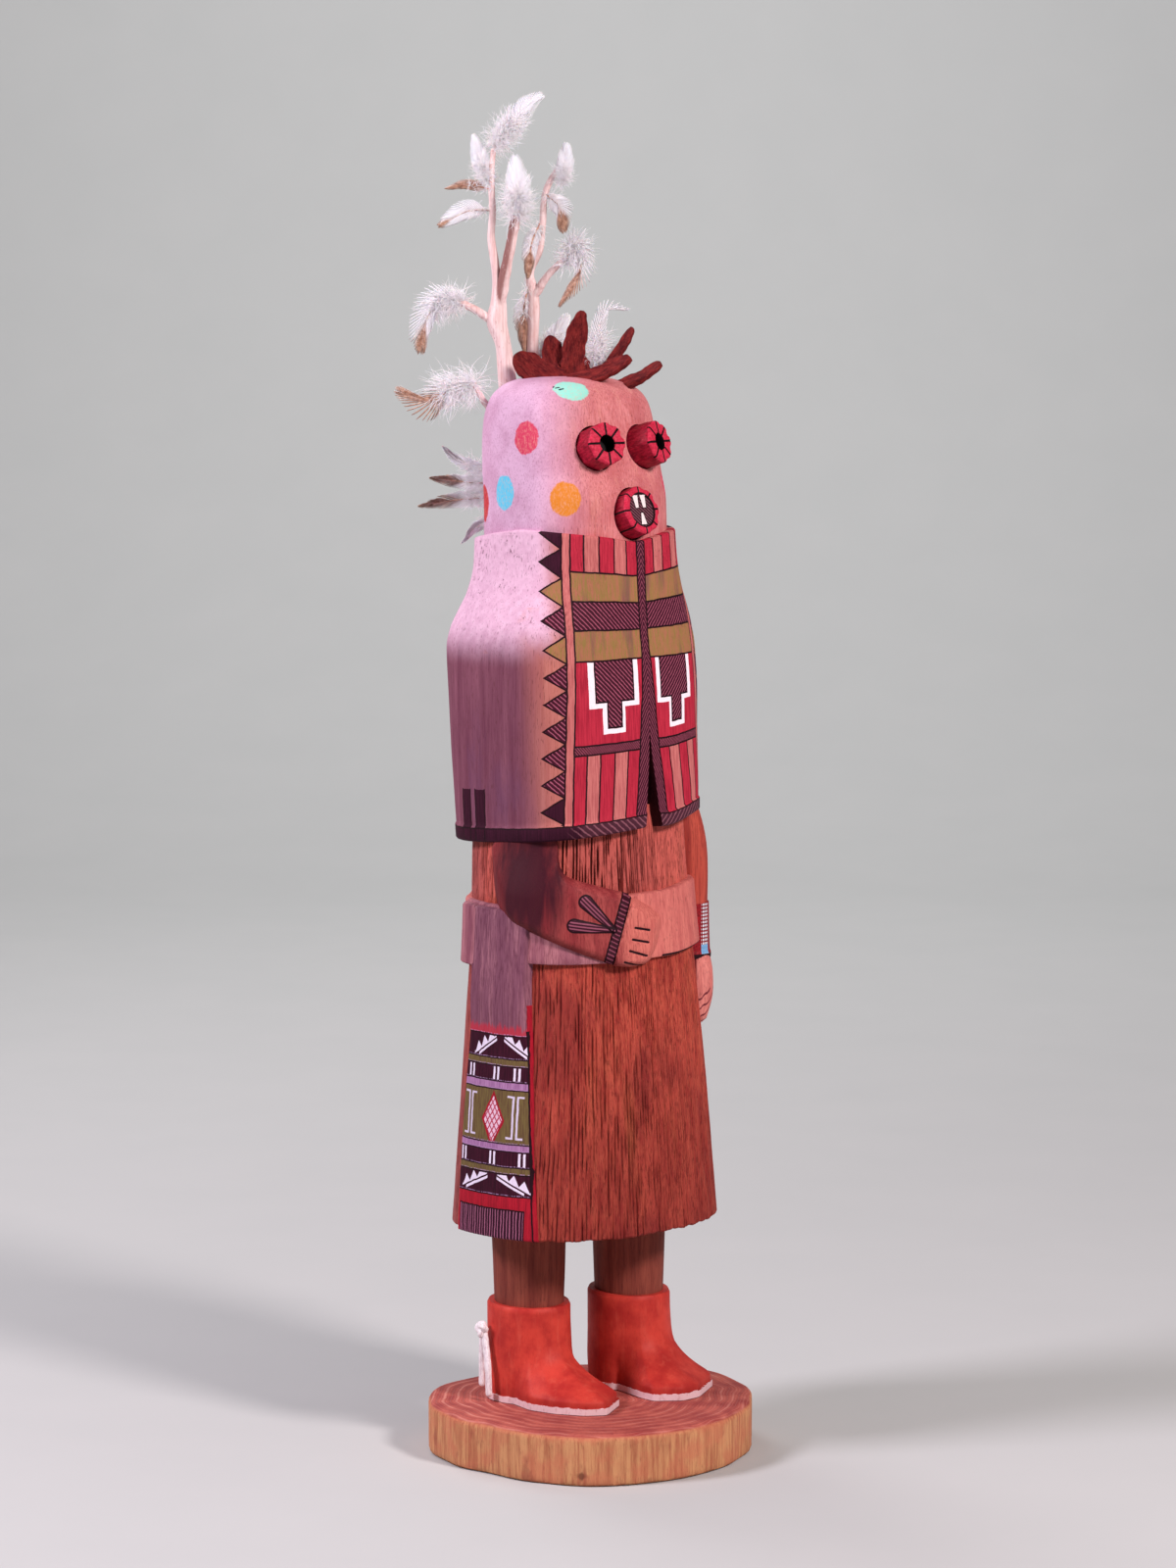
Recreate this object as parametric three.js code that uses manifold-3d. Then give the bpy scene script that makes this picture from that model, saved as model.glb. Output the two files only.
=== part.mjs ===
// A carved and painted kachina doll: a robed figure standing on a slice of log.
// Tube eyes and a tube mouth, rough petals and feathered twigs are set into the head.
// Millimetres, +Z up, the doll faces -Y and its right hand is towards -X.
// The origin is the middle of the log slice's underside.

import * as THREE from 'three';
import { mergeVertices } from 'three/addons/utils/BufferGeometryUtils.js';
import Module from 'manifold-3d';

const wasm = await Module();
wasm.setup();

// Driving dimensions

const clearance = 0.3;

// The log slice: its radius every 22.5 degrees, counter-clockwise from +X
const baseThickness = 14;
const baseRadii = [50.8, 47.5, 44.5, 43.0, 43.8, 46.2, 44.4, 41.8, 38.8, 40.2, 41.9, 41.6, 42.0, 43.0, 45.2, 48.6];
const baseEdgeRound = 1.8;
const baseSides = 44;

// Where the doll stands on the slice, measured from the middle of the slice
const dollX = 10;
const dollY = 11;

// The headdress and the bent right arm are laid out on a plane turned to the doll's right front
const facingTurn = -47;

// Heights are above the top of the slice
const hemHeight = 46.8;
const rimHeight = 157.9;
const shoulderHeight = 208.3;
const collarHeight = 239;
const collarRise = 2.6;
const crownHeight = 282.5;

// Cross-sections from below: height, half width, depth in front, depth behind
const robeLength = rimHeight - hemHeight;
const robeSections = [
  [hemHeight, 38.3, 32.2, 31.4],
  [hemHeight + robeLength * 0.24, 36.8, 29.8, 29.6],
  [hemHeight + robeLength * 0.5, 34.6, 27.2, 28.2],
  [hemHeight + robeLength * 0.74, 32.2, 24.2, 27.6],
  [hemHeight + robeLength * 0.945, 31, 22, 27.8],
  [rimHeight + 12, 30, 20.8, 28],
];
const capeSide = shoulderHeight - rimHeight;
const shoulderSlope = collarHeight - shoulderHeight;
const capeSections = [
  [rimHeight, 32.4, 24.8, 31],
  [rimHeight + capeSide * 0.24, 32.7, 24.2, 32],
  [rimHeight + capeSide * 0.52, 33, 23.4, 33.2],
  [rimHeight + capeSide * 0.78, 33.3, 22.8, 34.4],
  [shoulderHeight, 33.2, 21.8, 35],
  [shoulderHeight + shoulderSlope * 0.17, 32.2, 21.2, 34.2],
  [shoulderHeight + shoulderSlope * 0.34, 30.2, 20.8, 32.2],
  [shoulderHeight + shoulderSlope * 0.51, 27.9, 20.4, 30.2],
  [shoulderHeight + shoulderSlope * 0.77, 26, 20, 28.8],
  [collarHeight, 25.5, 19.6, 28.8],
];
const headHeight = crownHeight - collarHeight;
const headSections = [
  [collarHeight - headHeight * 0.14, 24.3, 18.4, 27.2],
  [collarHeight + headHeight * 0.225, 24.3, 17.8, 27.2],
  [collarHeight + headHeight * 0.411, 24.2, 15.2, 28],
  [collarHeight + headHeight * 0.595, 23.9, 12.8, 28.4],
  [collarHeight + headHeight * 0.72, 23.3, 11.4, 28.2],
  [collarHeight + headHeight * 0.825, 22.2, 10.7, 27],
  [collarHeight + headHeight * 0.899, 20.4, 9.6, 25],
  [collarHeight + headHeight * 0.956, 17, 7, 22],
  [collarHeight + headHeight * 0.989, 12.5, 2.5, 18],
  [crownHeight, 7, -2, 13],
];
const robeSquareness = 2.4;
const capeSquareness = 2.9;
const headSquareness = 2.5;
const sectionSides = 32;

// The front slit of the cape opens downwards
const slitTop = rimHeight + 24;
const slitWidth = 3.4;
const slitDepth = 6;

// The belt and the sash that hangs from it at the doll's right side
const beltBottom = rimHeight - 36.4;
const beltHeight = 18;
const beltProud = 1.5;
const sashProud = 1.5;
const sashFront = 9.5;
const sashBack = 14;

// The bent right arm, raised from the robe
const armProud = 3;
const armEdge = 0.9;
const handProud = 4.8;
const wristBandProud = 5.2;
const wristBandWidth = 2.3;

// The left arm hangs at the side
const leftArmX = 33;
const leftArmY = -8;
const leftArmRadius = 5.8;
const leftHandLength = 18;

// Legs and boots, from the doll's own upright axis
const legRadius = 10.2;
const bootHeight = 26;
const bootRadius = 11.6;
const soleThickness = 1.2;
const rightLeg = { x: -17.6, y: 4.7 };
const leftLeg = { x: 13.5, y: -4.4 };

// Sole outlines from the leg's middle: the straight runs from the outer side round the toe
const rightSole = [[-10.7, -4.6], [-12.9, -12.3], [-11.6, -20.3], [-7.7, -27.8], [-2.9, -31.3], [8.5, -25.2],
  [9.6, -14], [10.6, -5]];
const leftSole = [[-9.8, -5], [-12.7, -16.6], [-13, -21.3], [-7, -26.1], [-0.7, -26.2], [12.8, -19.8],
  [13, -11], [11.2, -4]];

// Tube eyes and mouth: where the axis leaves the face, outward turn and upward tilt in degrees
const eyeRadius = 6.1;
const eyeLength = 6.2;
const eyeHub = 2.35;
const eyeHubDepth = 1.2;
const mouthRadius = 6.85;
const mouthLength = 6.4;
const mouthDisc = 4.7;
const mouthDiscDepth = 0.5;
const tubeInset = 3.5;
const tubeEdge = 0.6;
const eyeSpread = 9.3;
const eyeFront = -12.8;
const eyeHeight = collarHeight + headHeight * 0.563;
const eyeTurn = 13;
const eyeTilt = 15;
const mouthFront = -15.6;
const mouthHeight = collarHeight + headHeight * 0.138;
const mouthTilt = 17;

// Twigs: across, away and height over the crown on the turned plane, then the radius
const mainTwig = [[-20.6, 11, -8.5, 2.3], [-21.2, 11, -2.5, 2.3], [-22.4, 11, 8.5, 2.2], [-24.2, 11, 14.9, 2.7],
  [-23.8, 10.6, 20.5, 2.2], [-24.2, 10, 25.5, 1.3], [-25, 10, 32.5, 1.1], [-25.6, 9.6, 38.5, 1],
  [-25.3, 9.4, 45.5, 0.95], [-25.5, 9, 55.5, 0.85], [-25, 9, 62, 0.7]];
const cutTwig = [[-23.6, 10.8, 18.5, 1.8], [-22.6, 9.6, 24.5, 1.6], [-20.9, 8, 32.8, 1.4], [-18.8, 6, 44.1, 1.3]];
const leftTwig = [[-24.2, 11, 14.1, 1.3], [-29.2, 10.6, 17.7, 1.1], [-34, 10, 20.2, 1]];
const secondTwig = [[-14.3, 14.6, -7.5, 1.7], [-14.3, 15, 7.5, 1.6], [-14.2, 15.4, 21.9, 1.6],
  [-15.2, 15.6, 28.5, 1.1], [-12.4, 16, 34.9, 1], [-11.6, 16, 41.5, 0.95], [-11, 15.6, 49, 0.9],
  [-8.5, 15, 55.2, 0.8], [-5, 14.6, 59.1, 0.7]];
const forkTwig = [[-14.2, 15.2, 21.5, 1.2], [-9.9, 13.6, 27.9, 0.95], [-5.7, 12, 32.1, 0.8]];
const stubTwig = [[-22.8, 7.4, -15, 0.9], [-27.2, 5.8, -7.6, 0.85], [-30.3, 4.6, -2.3, 0.75]];
const twigSides = 8;
const branchSides = 6;

// Petals: foot and tip on the turned plane, over the crown, widest breadth, and the way the broad side faces
const petalThickness = 1.9;
const petalSag = 0.07;
const petalList = [
  { foot: [-10.4, 2.4, -3.5], tip: [-18.2, 0.6, 6.5], breadth: 9, face: [0.2, -1, 0.3] },
  { foot: [-8.4, 7, -2.5], tip: [-11, 7, 11.5], breadth: 7, face: [0, -1, 0.2] },
  { foot: [-3.4, 4.6, -2.5], tip: [0.8, 5, 18.5], breadth: 7.6, face: [0.3, -1, 0] },
  { foot: [3.6, 8, -2.5], tip: [14, 11.5, 12.1], breadth: 5, face: [-0.4, -0.7, 1] },
  { foot: [1.8, 2.4, -2.9], tip: [12.8, -1.4, 6.9], breadth: 6.4, face: [-0.5, -0.2, 1] },
  { foot: [7, 4.6, -3.5], tip: [21.4, 3.2, 3.5], breadth: 5.6, face: [-0.3, -0.4, 1] },
  { foot: [-2.2, 11.6, -2.9], tip: [-3.4, 17.5, 10.5], breadth: 7, face: [0, 1, 0.4] },
];

// Feathers on the turned plane, over the crown: each vane's bend points, its breadth and its down tufts
const featherThickness = 1.1;
const featherList = [
  { name: 'feather_top', vane: [[-24.6, 8.8, 63.5], [-21, 8.6, 67.9], [-16.4, 8, 73.5], [-12.4, 7.6, 77.9]],
    breadth: 7, down: [[-21.6, 8.4, 66.9, 3.4]] },
  { name: 'feather_top_left', vane: [[-26.6, 8.8, 55.1], [-29, 8.4, 59.5], [-30.6, 8, 66.5]],
    breadth: 6, down: [[-28.6, 8.4, 58.9, 2.6]] },
  { name: 'feather_upper_left', vane: [[-26.9, 9, 50.5], [-32, 8.6, 51.9], [-37.6, 8.2, 52.1]],
    breadth: 4.2, down: [] },
  { name: 'feather_pointed', vane: [[-26.6, 9.2, 43.5], [-32, 8.6, 44.7], [-38.4, 7.8, 42.1]],
    breadth: 7, down: [] },
  { name: 'feather_centre', vane: [[-18.6, 5.6, 45.7], [-18.8, 5.2, 51.5], [-19.6, 5.4, 59.1]],
    breadth: 8.6, down: [[-18.6, 5.2, 50.5, 3.6]] },
  { name: 'feather_right_tip', vane: [[-4, 14.2, 60.3], [-4.6, 12.6, 55.9], [-8, 12.2, 50.9]],
    breadth: 5.6, down: [[-5, 12.6, 56.5, 2.8]] },
  { name: 'feather_right', vane: [[-9.7, 15, 48.1], [-7, 14, 44.9], [-6.6, 13.6, 39.5]],
    breadth: 6.6, down: [] },
  { name: 'feather_hanging', vane: [[-12.4, 14.5, 39.9], [-15.6, 13.2, 36.5], [-16.6, 12.6, 28.1]],
    breadth: 5.4, down: [] },
  { name: 'feather_fork', vane: [[-5, 11.3, 33.3], [-0.6, 10.4, 34.5], [-0.6, 9.6, 26.5], [-6.6, 9.4, 18.5]],
    breadth: 8, down: [[-1.6, 10, 32.5, 3.6]] },
  { name: 'feather_middle', vane: [[-16.2, 15, 22.1], [-18.2, 14.6, 16.5], [-17.4, 14.4, 7.5]],
    breadth: 5, down: [] },
  { name: 'feather_rear', vane: [[-12.2, 16.4, 5.5], [-9, 18.4, 8.9], [-5.4, 19.6, 14.5]],
    breadth: 7, down: [] },
  { name: 'feather_crown', vane: [[2.6, 15, -2.9], [3.2, 16, 6.5], [5, 16.4, 14.5], [9.4, 16.4, 20.1]],
    breadth: 5.4, down: [[5.6, 16.4, 16.3, 4.6]] },
  { name: 'feather_branch', vane: [[-34.6, 9.8, 20.9], [-40, 9.2, 21.5], [-44.6, 8.8, 16.9], [-46.4, 8.6, 11.9]],
    breadth: 8, down: [[-38.6, 9.2, 20.1, 4.8]] },
  { name: 'feather_stub', vane: [[-30.8, 4.4, -1.3], [-37, 3.8, 0.5], [-43, 3, -3.1], [-49, 2.4, -4.7]],
    breadth: 9, down: [[-36.8, 3.6, -1.1, 5.2]] },
];

// Feathers bound at the nape: each tip's spread, reach behind the axis, rise from the binding and breadth
const napeHeight = collarHeight + 12;
const napeBack = 26.8;
const napeTips = [
  { x: -15.6, back: 38.6, rise: 11.4, breadth: 5.4 },
  { x: -18, back: 40.6, rise: 3.2, breadth: 5.4 },
  { x: -19.6, back: 43.4, rise: -4.4, breadth: 6.4 },
  { x: -12.6, back: 34.6, rise: -14.4, breadth: 5 },
  { x: 13.5, back: 40, rise: 9, breadth: 5.4 },
  { x: 17.5, back: 42, rise: -0.4, breadth: 6 },
  { x: 10.6, back: 36, rise: -12.6, breadth: 5 },
];
const napeSpacing = 2.8;
const napeFan = 0.4;

// White thongs tied at the outer back of each boot
const tieRadius = 1.1;
const tieKnot = 2.2;
const tieKnotHeight = 20;
const tieLowEnd = 2.2;
const tieBearing = { right: 150, left: 30 };

// Small helpers

const radians = THREE.MathUtils.degToRad;

// A closed body through rings that all have the same number of points, from below to above
function loft(rings) {
  const sides = rings[0].length;
  const positions = rings.flat(2);
  const index = [];
  for (let level = 0; level < rings.length - 1; level += 1) {
    for (let i = 0; i < sides; i += 1) {
      const a = level * sides + i;
      const b = level * sides + (i + 1) % sides;
      index.push(a, b, b + sides, a, b + sides, a + sides);
    }
  }
  const ends = [rings[0], rings[rings.length - 1]];
  ends.forEach((ring, end) => {
    const middle = [0, 1, 2].map((axis) => ring.reduce((sum, point) => sum + point[axis], 0) / sides);
    const centre = positions.length / 3;
    positions.push(...middle);
    const first = end === 0 ? 0 : (rings.length - 1) * sides;
    for (let i = 0; i < sides; i += 1) {
      const here = first + i;
      const next = first + (i + 1) % sides;
      if (end === 0) index.push(centre, next, here);
      else index.push(centre, here, next);
    }
  });
  const geometry = new THREE.BufferGeometry();
  geometry.setAttribute('position', new THREE.Float32BufferAttribute(positions, 3));
  geometry.setIndex(index);
  return geometry;
}

function toSolid(geometry) {
  const bare = new THREE.BufferGeometry();
  bare.setAttribute('position', geometry.getAttribute('position'));
  if (geometry.index) bare.setIndex(geometry.index);
  const merged = mergeVertices(bare, 1e-4);
  return new wasm.Manifold(new wasm.Mesh({
    numProp: 3,
    vertProperties: new Float32Array(merged.getAttribute('position').array),
    triVerts: new Uint32Array(merged.index.array),
  }));
}

function toGeometry(solid) {
  const mesh = solid.getMesh();
  const geometry = new THREE.BufferGeometry();
  geometry.setAttribute('position', new THREE.BufferAttribute(new Float32Array(mesh.vertProperties), 3));
  geometry.setIndex(new THREE.BufferAttribute(new Uint32Array(mesh.triVerts), 1));
  const flat = geometry.toNonIndexed();
  flat.computeVertexNormals();
  return flat;
}

function joined(solids) {
  return solids.reduce((sum, solid) => sum.add(solid));
}

// The biggest body of a solid that a cut may have left in several
function largest(solid) {
  return solid.decompose().reduce((best, body) => (body.volume() > best.volume() ? body : best));
}

// One ring of a squared oval; rise lifts its two sides above its front and back
function ovalRing([z, halfWidth, front, back], squareness, grow = 0, rise = 0, sides = sectionSides) {
  const ring = [];
  const middle = (back - front) / 2;
  const useMiddle = front < 0;
  for (let i = 0; i < sides; i += 1) {
    const angle = (i / sides) * 2 * Math.PI;
    const c = Math.cos(angle);
    const s = Math.sin(angle);
    const depth = (useMiddle ? (front + back) / 2 : (s < 0 ? front : back)) + grow;
    const reach = (Math.abs(c / (halfWidth + grow)) ** squareness + Math.abs(s / depth) ** squareness)
      ** (-1 / squareness);
    ring.push([reach * c, reach * s + (useMiddle ? middle : 0), z + rise * c * c]);
  }
  return ring;
}

function ovalLoft(sections, squareness, grow = 0, rise = 0) {
  return loft(sections.map((section) => ovalRing(section, squareness, grow, rise * riseShare(section[0]))));
}

// The collar's rise fades out down the cape
function riseShare(z) {
  return THREE.MathUtils.clamp((z - shoulderHeight) / (collarHeight - shoulderHeight), 0, 1);
}

// The robe's section at any height
function robeSection(z) {
  const above = Math.max(1, robeSections.findIndex((section) => section[0] >= z));
  const low = robeSections[above - 1];
  const high = robeSections[above];
  const share = (z - low[0]) / (high[0] - low[0]);
  return [z, ...[1, 2, 3].map((k) => low[k] + (high[k] - low[k]) * share)];
}

// A band of the robe between two heights, grown outwards
function robeBand(bottom, top, grow) {
  const between = robeSections.filter((section) => section[0] > bottom + 1 && section[0] < top - 1);
  const sections = [robeSection(bottom), ...between, robeSection(top)];
  return toSolid(ovalLoft(sections, robeSquareness, grow));
}

// An outline on the turned upright plane, height from the cape's rim, run towards the doll's right front
function turnedPrism(outline, reach = 60) {
  const shape = new THREE.Shape(outline.map(([across, height]) => new THREE.Vector2(across, rimHeight + height)));
  const prism = new THREE.ExtrudeGeometry(shape, { depth: reach, bevelEnabled: false });
  prism.rotateX(Math.PI / 2);
  prism.rotateZ(radians(facingTurn));
  return toSolid(prism);
}

function block(x0, x1, y0, y1, z0, z1) {
  const box = new THREE.BoxGeometry(x1 - x0, y1 - y0, z1 - z0);
  box.translate((x0 + x1) / 2, (y0 + y1) / 2, (z0 + z1) / 2);
  return toSolid(box);
}

// A round bar through points [x, y, z, radius]
function bar(points, sides, grow = 0, lengthen = 0) {
  const path = points.map(([x, y, z]) => new THREE.Vector3(x, y, z));
  const startWay = path[0].clone().sub(path[1]).setLength(lengthen);
  const endWay = path[path.length - 1].clone().sub(path[path.length - 2]).setLength(lengthen);
  path[0].add(startWay);
  path[path.length - 1].add(endWay);
  const rings = path.map((here, k) => {
    const before = path[Math.max(0, k - 1)];
    const after = path[Math.min(path.length - 1, k + 1)];
    const way = after.clone().sub(before).normalize();
    const side = new THREE.Vector3(0, 1, 0).cross(way).normalize();
    const other = way.clone().cross(side);
    const radius = points[k][3] + grow;
    return Array.from({ length: sides }, (_, i) => {
      const angle = (i / sides) * 2 * Math.PI;
      const point = here.clone()
        .addScaledVector(side, radius * Math.cos(angle))
        .addScaledVector(other, radius * Math.sin(angle));
      return [point.x, point.y, point.z];
    });
  });
  return toSolid(loft(rings));
}

// A thin blade through points, with a flat four-sided section that faces the given normal
function blade(points, breadthAt, thickness, normal, grow = 0) {
  const path = points.map((point) => new THREE.Vector3(...point));
  const rings = path.map((here, k) => {
    const before = path[Math.max(0, k - 1)];
    const after = path[Math.min(path.length - 1, k + 1)];
    const way = after.clone().sub(before).normalize();
    const across = way.clone().cross(normal).normalize();
    const out = way.clone().cross(across).normalize();
    const half = breadthAt(k / (path.length - 1)) / 2 + grow;
    const thick = thickness / 2 + grow;
    const lens = [[1, 0], [0, 1], [-1, 0], [0, -1]];
    return lens.map(([u, v]) => {
      const point = here.clone().addScaledVector(across, half * u).addScaledVector(out, thick * v);
      return [point.x, point.y, point.z];
    });
  });
  return toSolid(loft(rings));
}

function clump(x, y, z, radius) {
  const ball = new THREE.IcosahedronGeometry(radius, 1);
  ball.scale(1, 0.6, 1);
  ball.translate(x, y, z);
  return toSolid(ball);
}

function moved(solid, matrix) {
  return solid.transform(matrix.elements);
}

const facingMatrix = new THREE.Matrix4().makeRotationZ(radians(facingTurn)).setPosition(0, 0, crownHeight);

// The log slice

function baseRadiusAt(angle) {
  const count = baseRadii.length;
  const place = ((angle / (2 * Math.PI)) * count + count) % count;
  const k = Math.floor(place);
  const share = place - k;
  const smooth = (1 - Math.cos(share * Math.PI)) / 2;
  return baseRadii[k] * (1 - smooth) + baseRadii[(k + 1) % count] * smooth;
}

function baseGeometry() {
  const levels = [[0, 0.8], [1, 0], [baseThickness - baseEdgeRound, 0],
    [baseThickness - baseEdgeRound * 0.3, baseEdgeRound * 0.3], [baseThickness, baseEdgeRound]];
  const rings = levels.map(([z, inset]) => Array.from({ length: baseSides }, (_, i) => {
    const angle = (i / baseSides) * 2 * Math.PI;
    const radius = baseRadiusAt(angle) - inset;
    return [radius * Math.cos(angle), radius * Math.sin(angle), z];
  }));
  return loft(rings);
}

// The carved figure

function capeSolid() {
  const cape = toSolid(ovalLoft(capeSections, capeSquareness, 0, collarRise));
  const front = -capeSections[0][2];
  const half = slitWidth / 2;
  const corner = 1.2;
  const outline = [[0, slitTop], [-half, rimHeight + corner], [-half - corner, rimHeight - 1],
    [half + corner, rimHeight - 1], [half, rimHeight + corner]];
  const shape = new THREE.Shape(outline.map(([x, z]) => new THREE.Vector2(x, z)));
  const wedge = new THREE.ExtrudeGeometry(shape, { depth: slitDepth * 2, bevelEnabled: false });
  wedge.rotateX(Math.PI / 2);
  wedge.translate(0, front + slitDepth, 0);
  return cape.subtract(toSolid(wedge));
}

function beltAndSash() {
  const belt = robeBand(beltBottom, beltBottom + beltHeight, beltProud);
  const sashTop = beltBottom + beltHeight - 2;
  const band = robeBand(hemHeight, sashTop, sashProud);
  const side = block(-60, -5, -sashFront, sashBack, hemHeight, sashTop);
  const lap = robeBand(beltBottom - 1.4, sashTop - 2, beltProud + sashProud)
    .intersect(block(-60, -5, -sashFront + 1, sashBack + 2, beltBottom - 3, sashTop));
  return joined([belt, band.intersect(side), lap]);
}

function rightArm() {
  const outline = [[-25.8, 2], [-24.4, -18.4], [-20.7, -23.1], [-15.4, -25.1], [-5.7, -29.3],
    [4.1, -33.3], [11.6, -35.7], [17.6, -35.3], [20.3, -30.8], [21.9, -22.7], [18.2, -19.1],
    [12.4, -15.6], [2, -12.3], [-6.8, -9.3], [-7.1, 2]];
  const inner = [[-24.8, 2], [-23.4, -17.9], [-20, -22.1], [-5.4, -28.3], [4.4, -32.3],
    [11.8, -34.7], [17, -34.3], [19.3, -30.5], [20.8, -23], [17.6, -19.9], [12, -16.6],
    [-7.8, -10.1], [-8, 2]];
  const wristLow = [6.2, -34.5];
  const wristHigh = [11.9, -14.9];
  const hand = [wristLow, [11.8, -34.7], [17, -34.3], [19.3, -30.5], [20.8, -23], [17.6, -19.9], wristHigh];
  const half = wristBandWidth / 2;
  const wristBand = [[wristLow[0] - half, wristLow[1]], [wristLow[0] + half, wristLow[1] - 0.6],
    [wristHigh[0] + half, wristHigh[1] - 0.6], [wristHigh[0] - half, wristHigh[1]]];
  const band = (grow) => robeBand(rimHeight - 43, rimHeight + 4, grow);
  return joined([
    turnedPrism(outline).intersect(band(armProud)),
    turnedPrism(inner).intersect(band(armProud + armEdge)),
    turnedPrism(hand).intersect(band(handProud)),
    turnedPrism(wristBand).intersect(band(wristBandProud)),
  ]);
}

function leftArm() {
  const wrist = beltBottom + 2;
  const low = wrist - leftHandLength;
  const r = leftArmRadius;
  return bar([
    [leftArmX - 3, leftArmY + 2, rimHeight + 6, r],
    [leftArmX, leftArmY, rimHeight - 8, r],
    [leftArmX + 0.6, leftArmY, wrist + 9, r - 0.2],
    [leftArmX + 1, leftArmY - 0.4, wrist, r - 0.8],
    [leftArmX + 0.8, leftArmY - 1.2, wrist - 7, r - 0.6],
    [leftArmX + 0.4, leftArmY - 1.8, low + 4, r - 1.8],
    [leftArmX, leftArmY - 2, low, r - 3.8],
  ], 12);
}

// A boot: its outline runs from the sole's to the shaft's circle as it rises
function bootSolid(leg, sole) {
  const outline = [];
  const corners = sole.length;
  for (let k = 0; k < corners - 1; k += 1) {
    const [x0, y0] = sole[k];
    const [x1, y1] = sole[k + 1];
    outline.push([x0, y0], [(x0 + x1) / 2, (y0 + y1) / 2]);
  }
  outline.push(sole[corners - 1]);
  const heelSteps = 11;
  const heelStart = Math.atan2(sole[corners - 1][1], sole[corners - 1][0]);
  const heelEnd = Math.atan2(sole[0][1], sole[0][0]) + 2 * Math.PI;
  for (let i = 1; i < heelSteps; i += 1) {
    const angle = heelStart + ((heelEnd - heelStart) * i) / heelSteps;
    outline.push([bootRadius * Math.cos(angle), bootRadius * Math.sin(angle)]);
  }
  const levels = [[0, 1, 0.2], [soleThickness, 1, 0.2], [soleThickness, 1, -0.3], [5.4, 0.97, -0.3],
    [8.4, 0.84, 0], [11.2, 0.58, 0], [14, 0.3, 0], [17.5, 0.1, 0], [bootHeight, 0, 0]];
  const rings = levels.map(([z, share, grow]) => outline.map(([x, y]) => {
    const reach = Math.hypot(x, y);
    const radius = bootRadius + (reach - bootRadius) * share + grow;
    return [leg.x + (x / reach) * radius, leg.y + (y / reach) * radius, z];
  }));
  const boot = toSolid(loft(rings));
  const shank = bar([[leg.x, leg.y, bootHeight - 4, legRadius], [leg.x, leg.y, hemHeight + 6, legRadius - 0.4]], 24);
  return boot.add(shank);
}

// A tube eye or mouth along its own axis, which starts tubeInset inside the face
function tubeProfile(radius, length, hub, hubDepth, grow = 0) {
  const end = tubeInset + length + grow;
  if (grow > 0) return [[radius + grow, -grow], [radius + grow, end]];
  return [[radius, 0], [radius, end - tubeEdge], [radius - tubeEdge, end], [hub, end], [hub, end - hubDepth]];
}

function tubeGeometry(profile, sides = 16) {
  return loft(profile.map(([radius, z]) => Array.from({ length: sides }, (_, i) => {
    const angle = ((i + 0.5) / sides) * 2 * Math.PI;
    return [radius * Math.cos(angle), radius * Math.sin(angle), z];
  })));
}

// The tubes' places: +Z of each tube points out of the face
function tubeMatrix(x, y, z, turn, tilt) {
  const way = new THREE.Vector3(
    Math.sin(radians(turn)) * Math.cos(radians(tilt)),
    -Math.cos(radians(turn)) * Math.cos(radians(tilt)),
    Math.sin(radians(tilt)),
  );
  const turned = new THREE.Quaternion().setFromUnitVectors(new THREE.Vector3(0, 0, 1), way);
  const start = new THREE.Vector3(x, y, z).addScaledVector(way, -tubeInset);
  return new THREE.Matrix4().compose(start, turned, new THREE.Vector3(1, 1, 1));
}

const tubes = [
  { name: 'eye_right', matrix: tubeMatrix(-eyeSpread, eyeFront, eyeHeight, -eyeTurn, eyeTilt),
    size: [eyeRadius, eyeLength, eyeHub, eyeHubDepth] },
  { name: 'eye_left', matrix: tubeMatrix(eyeSpread, eyeFront, eyeHeight, eyeTurn, eyeTilt),
    size: [eyeRadius, eyeLength, eyeHub, eyeHubDepth] },
  { name: 'mouth', matrix: tubeMatrix(0, mouthFront, mouthHeight, 0, mouthTilt),
    size: [mouthRadius, mouthLength, mouthDisc, mouthDiscDepth] },
];

function petalBlade({ foot, tip, breadth, face }, grow = 0) {
  const start = new THREE.Vector3(...foot);
  const end = new THREE.Vector3(...tip);
  const way = end.clone().sub(start);
  const normal = new THREE.Vector3(...face).normalize();
  const sag = way.length() * petalSag;
  const shares = [0, 0.3, 0.6, 0.85, 1];
  const points = shares.map((share) => {
    const point = start.clone().addScaledVector(way, share);
    point.addScaledVector(normal, -sag * Math.sin(share * Math.PI));
    return point.toArray();
  });
  const outlineAt = (share) => {
    const widths = [0.5, 0.86, 1, 0.72, 0.32];
    return breadth * widths[Math.round(share * (widths.length - 1))];
  };
  return blade(points, outlineAt, petalThickness, normal, grow);
}

const twigs = {
  twig_main: (grow) => joined([bar(mainTwig, twigSides, grow), bar(cutTwig, branchSides, grow),
    bar(leftTwig, branchSides, grow)]),
  twig_second: (grow) => joined([bar(secondTwig, branchSides, grow), bar(forkTwig, branchSides, grow)]),
  twig_stub: (grow) => bar(stubTwig, branchSides, grow),
};

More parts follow.
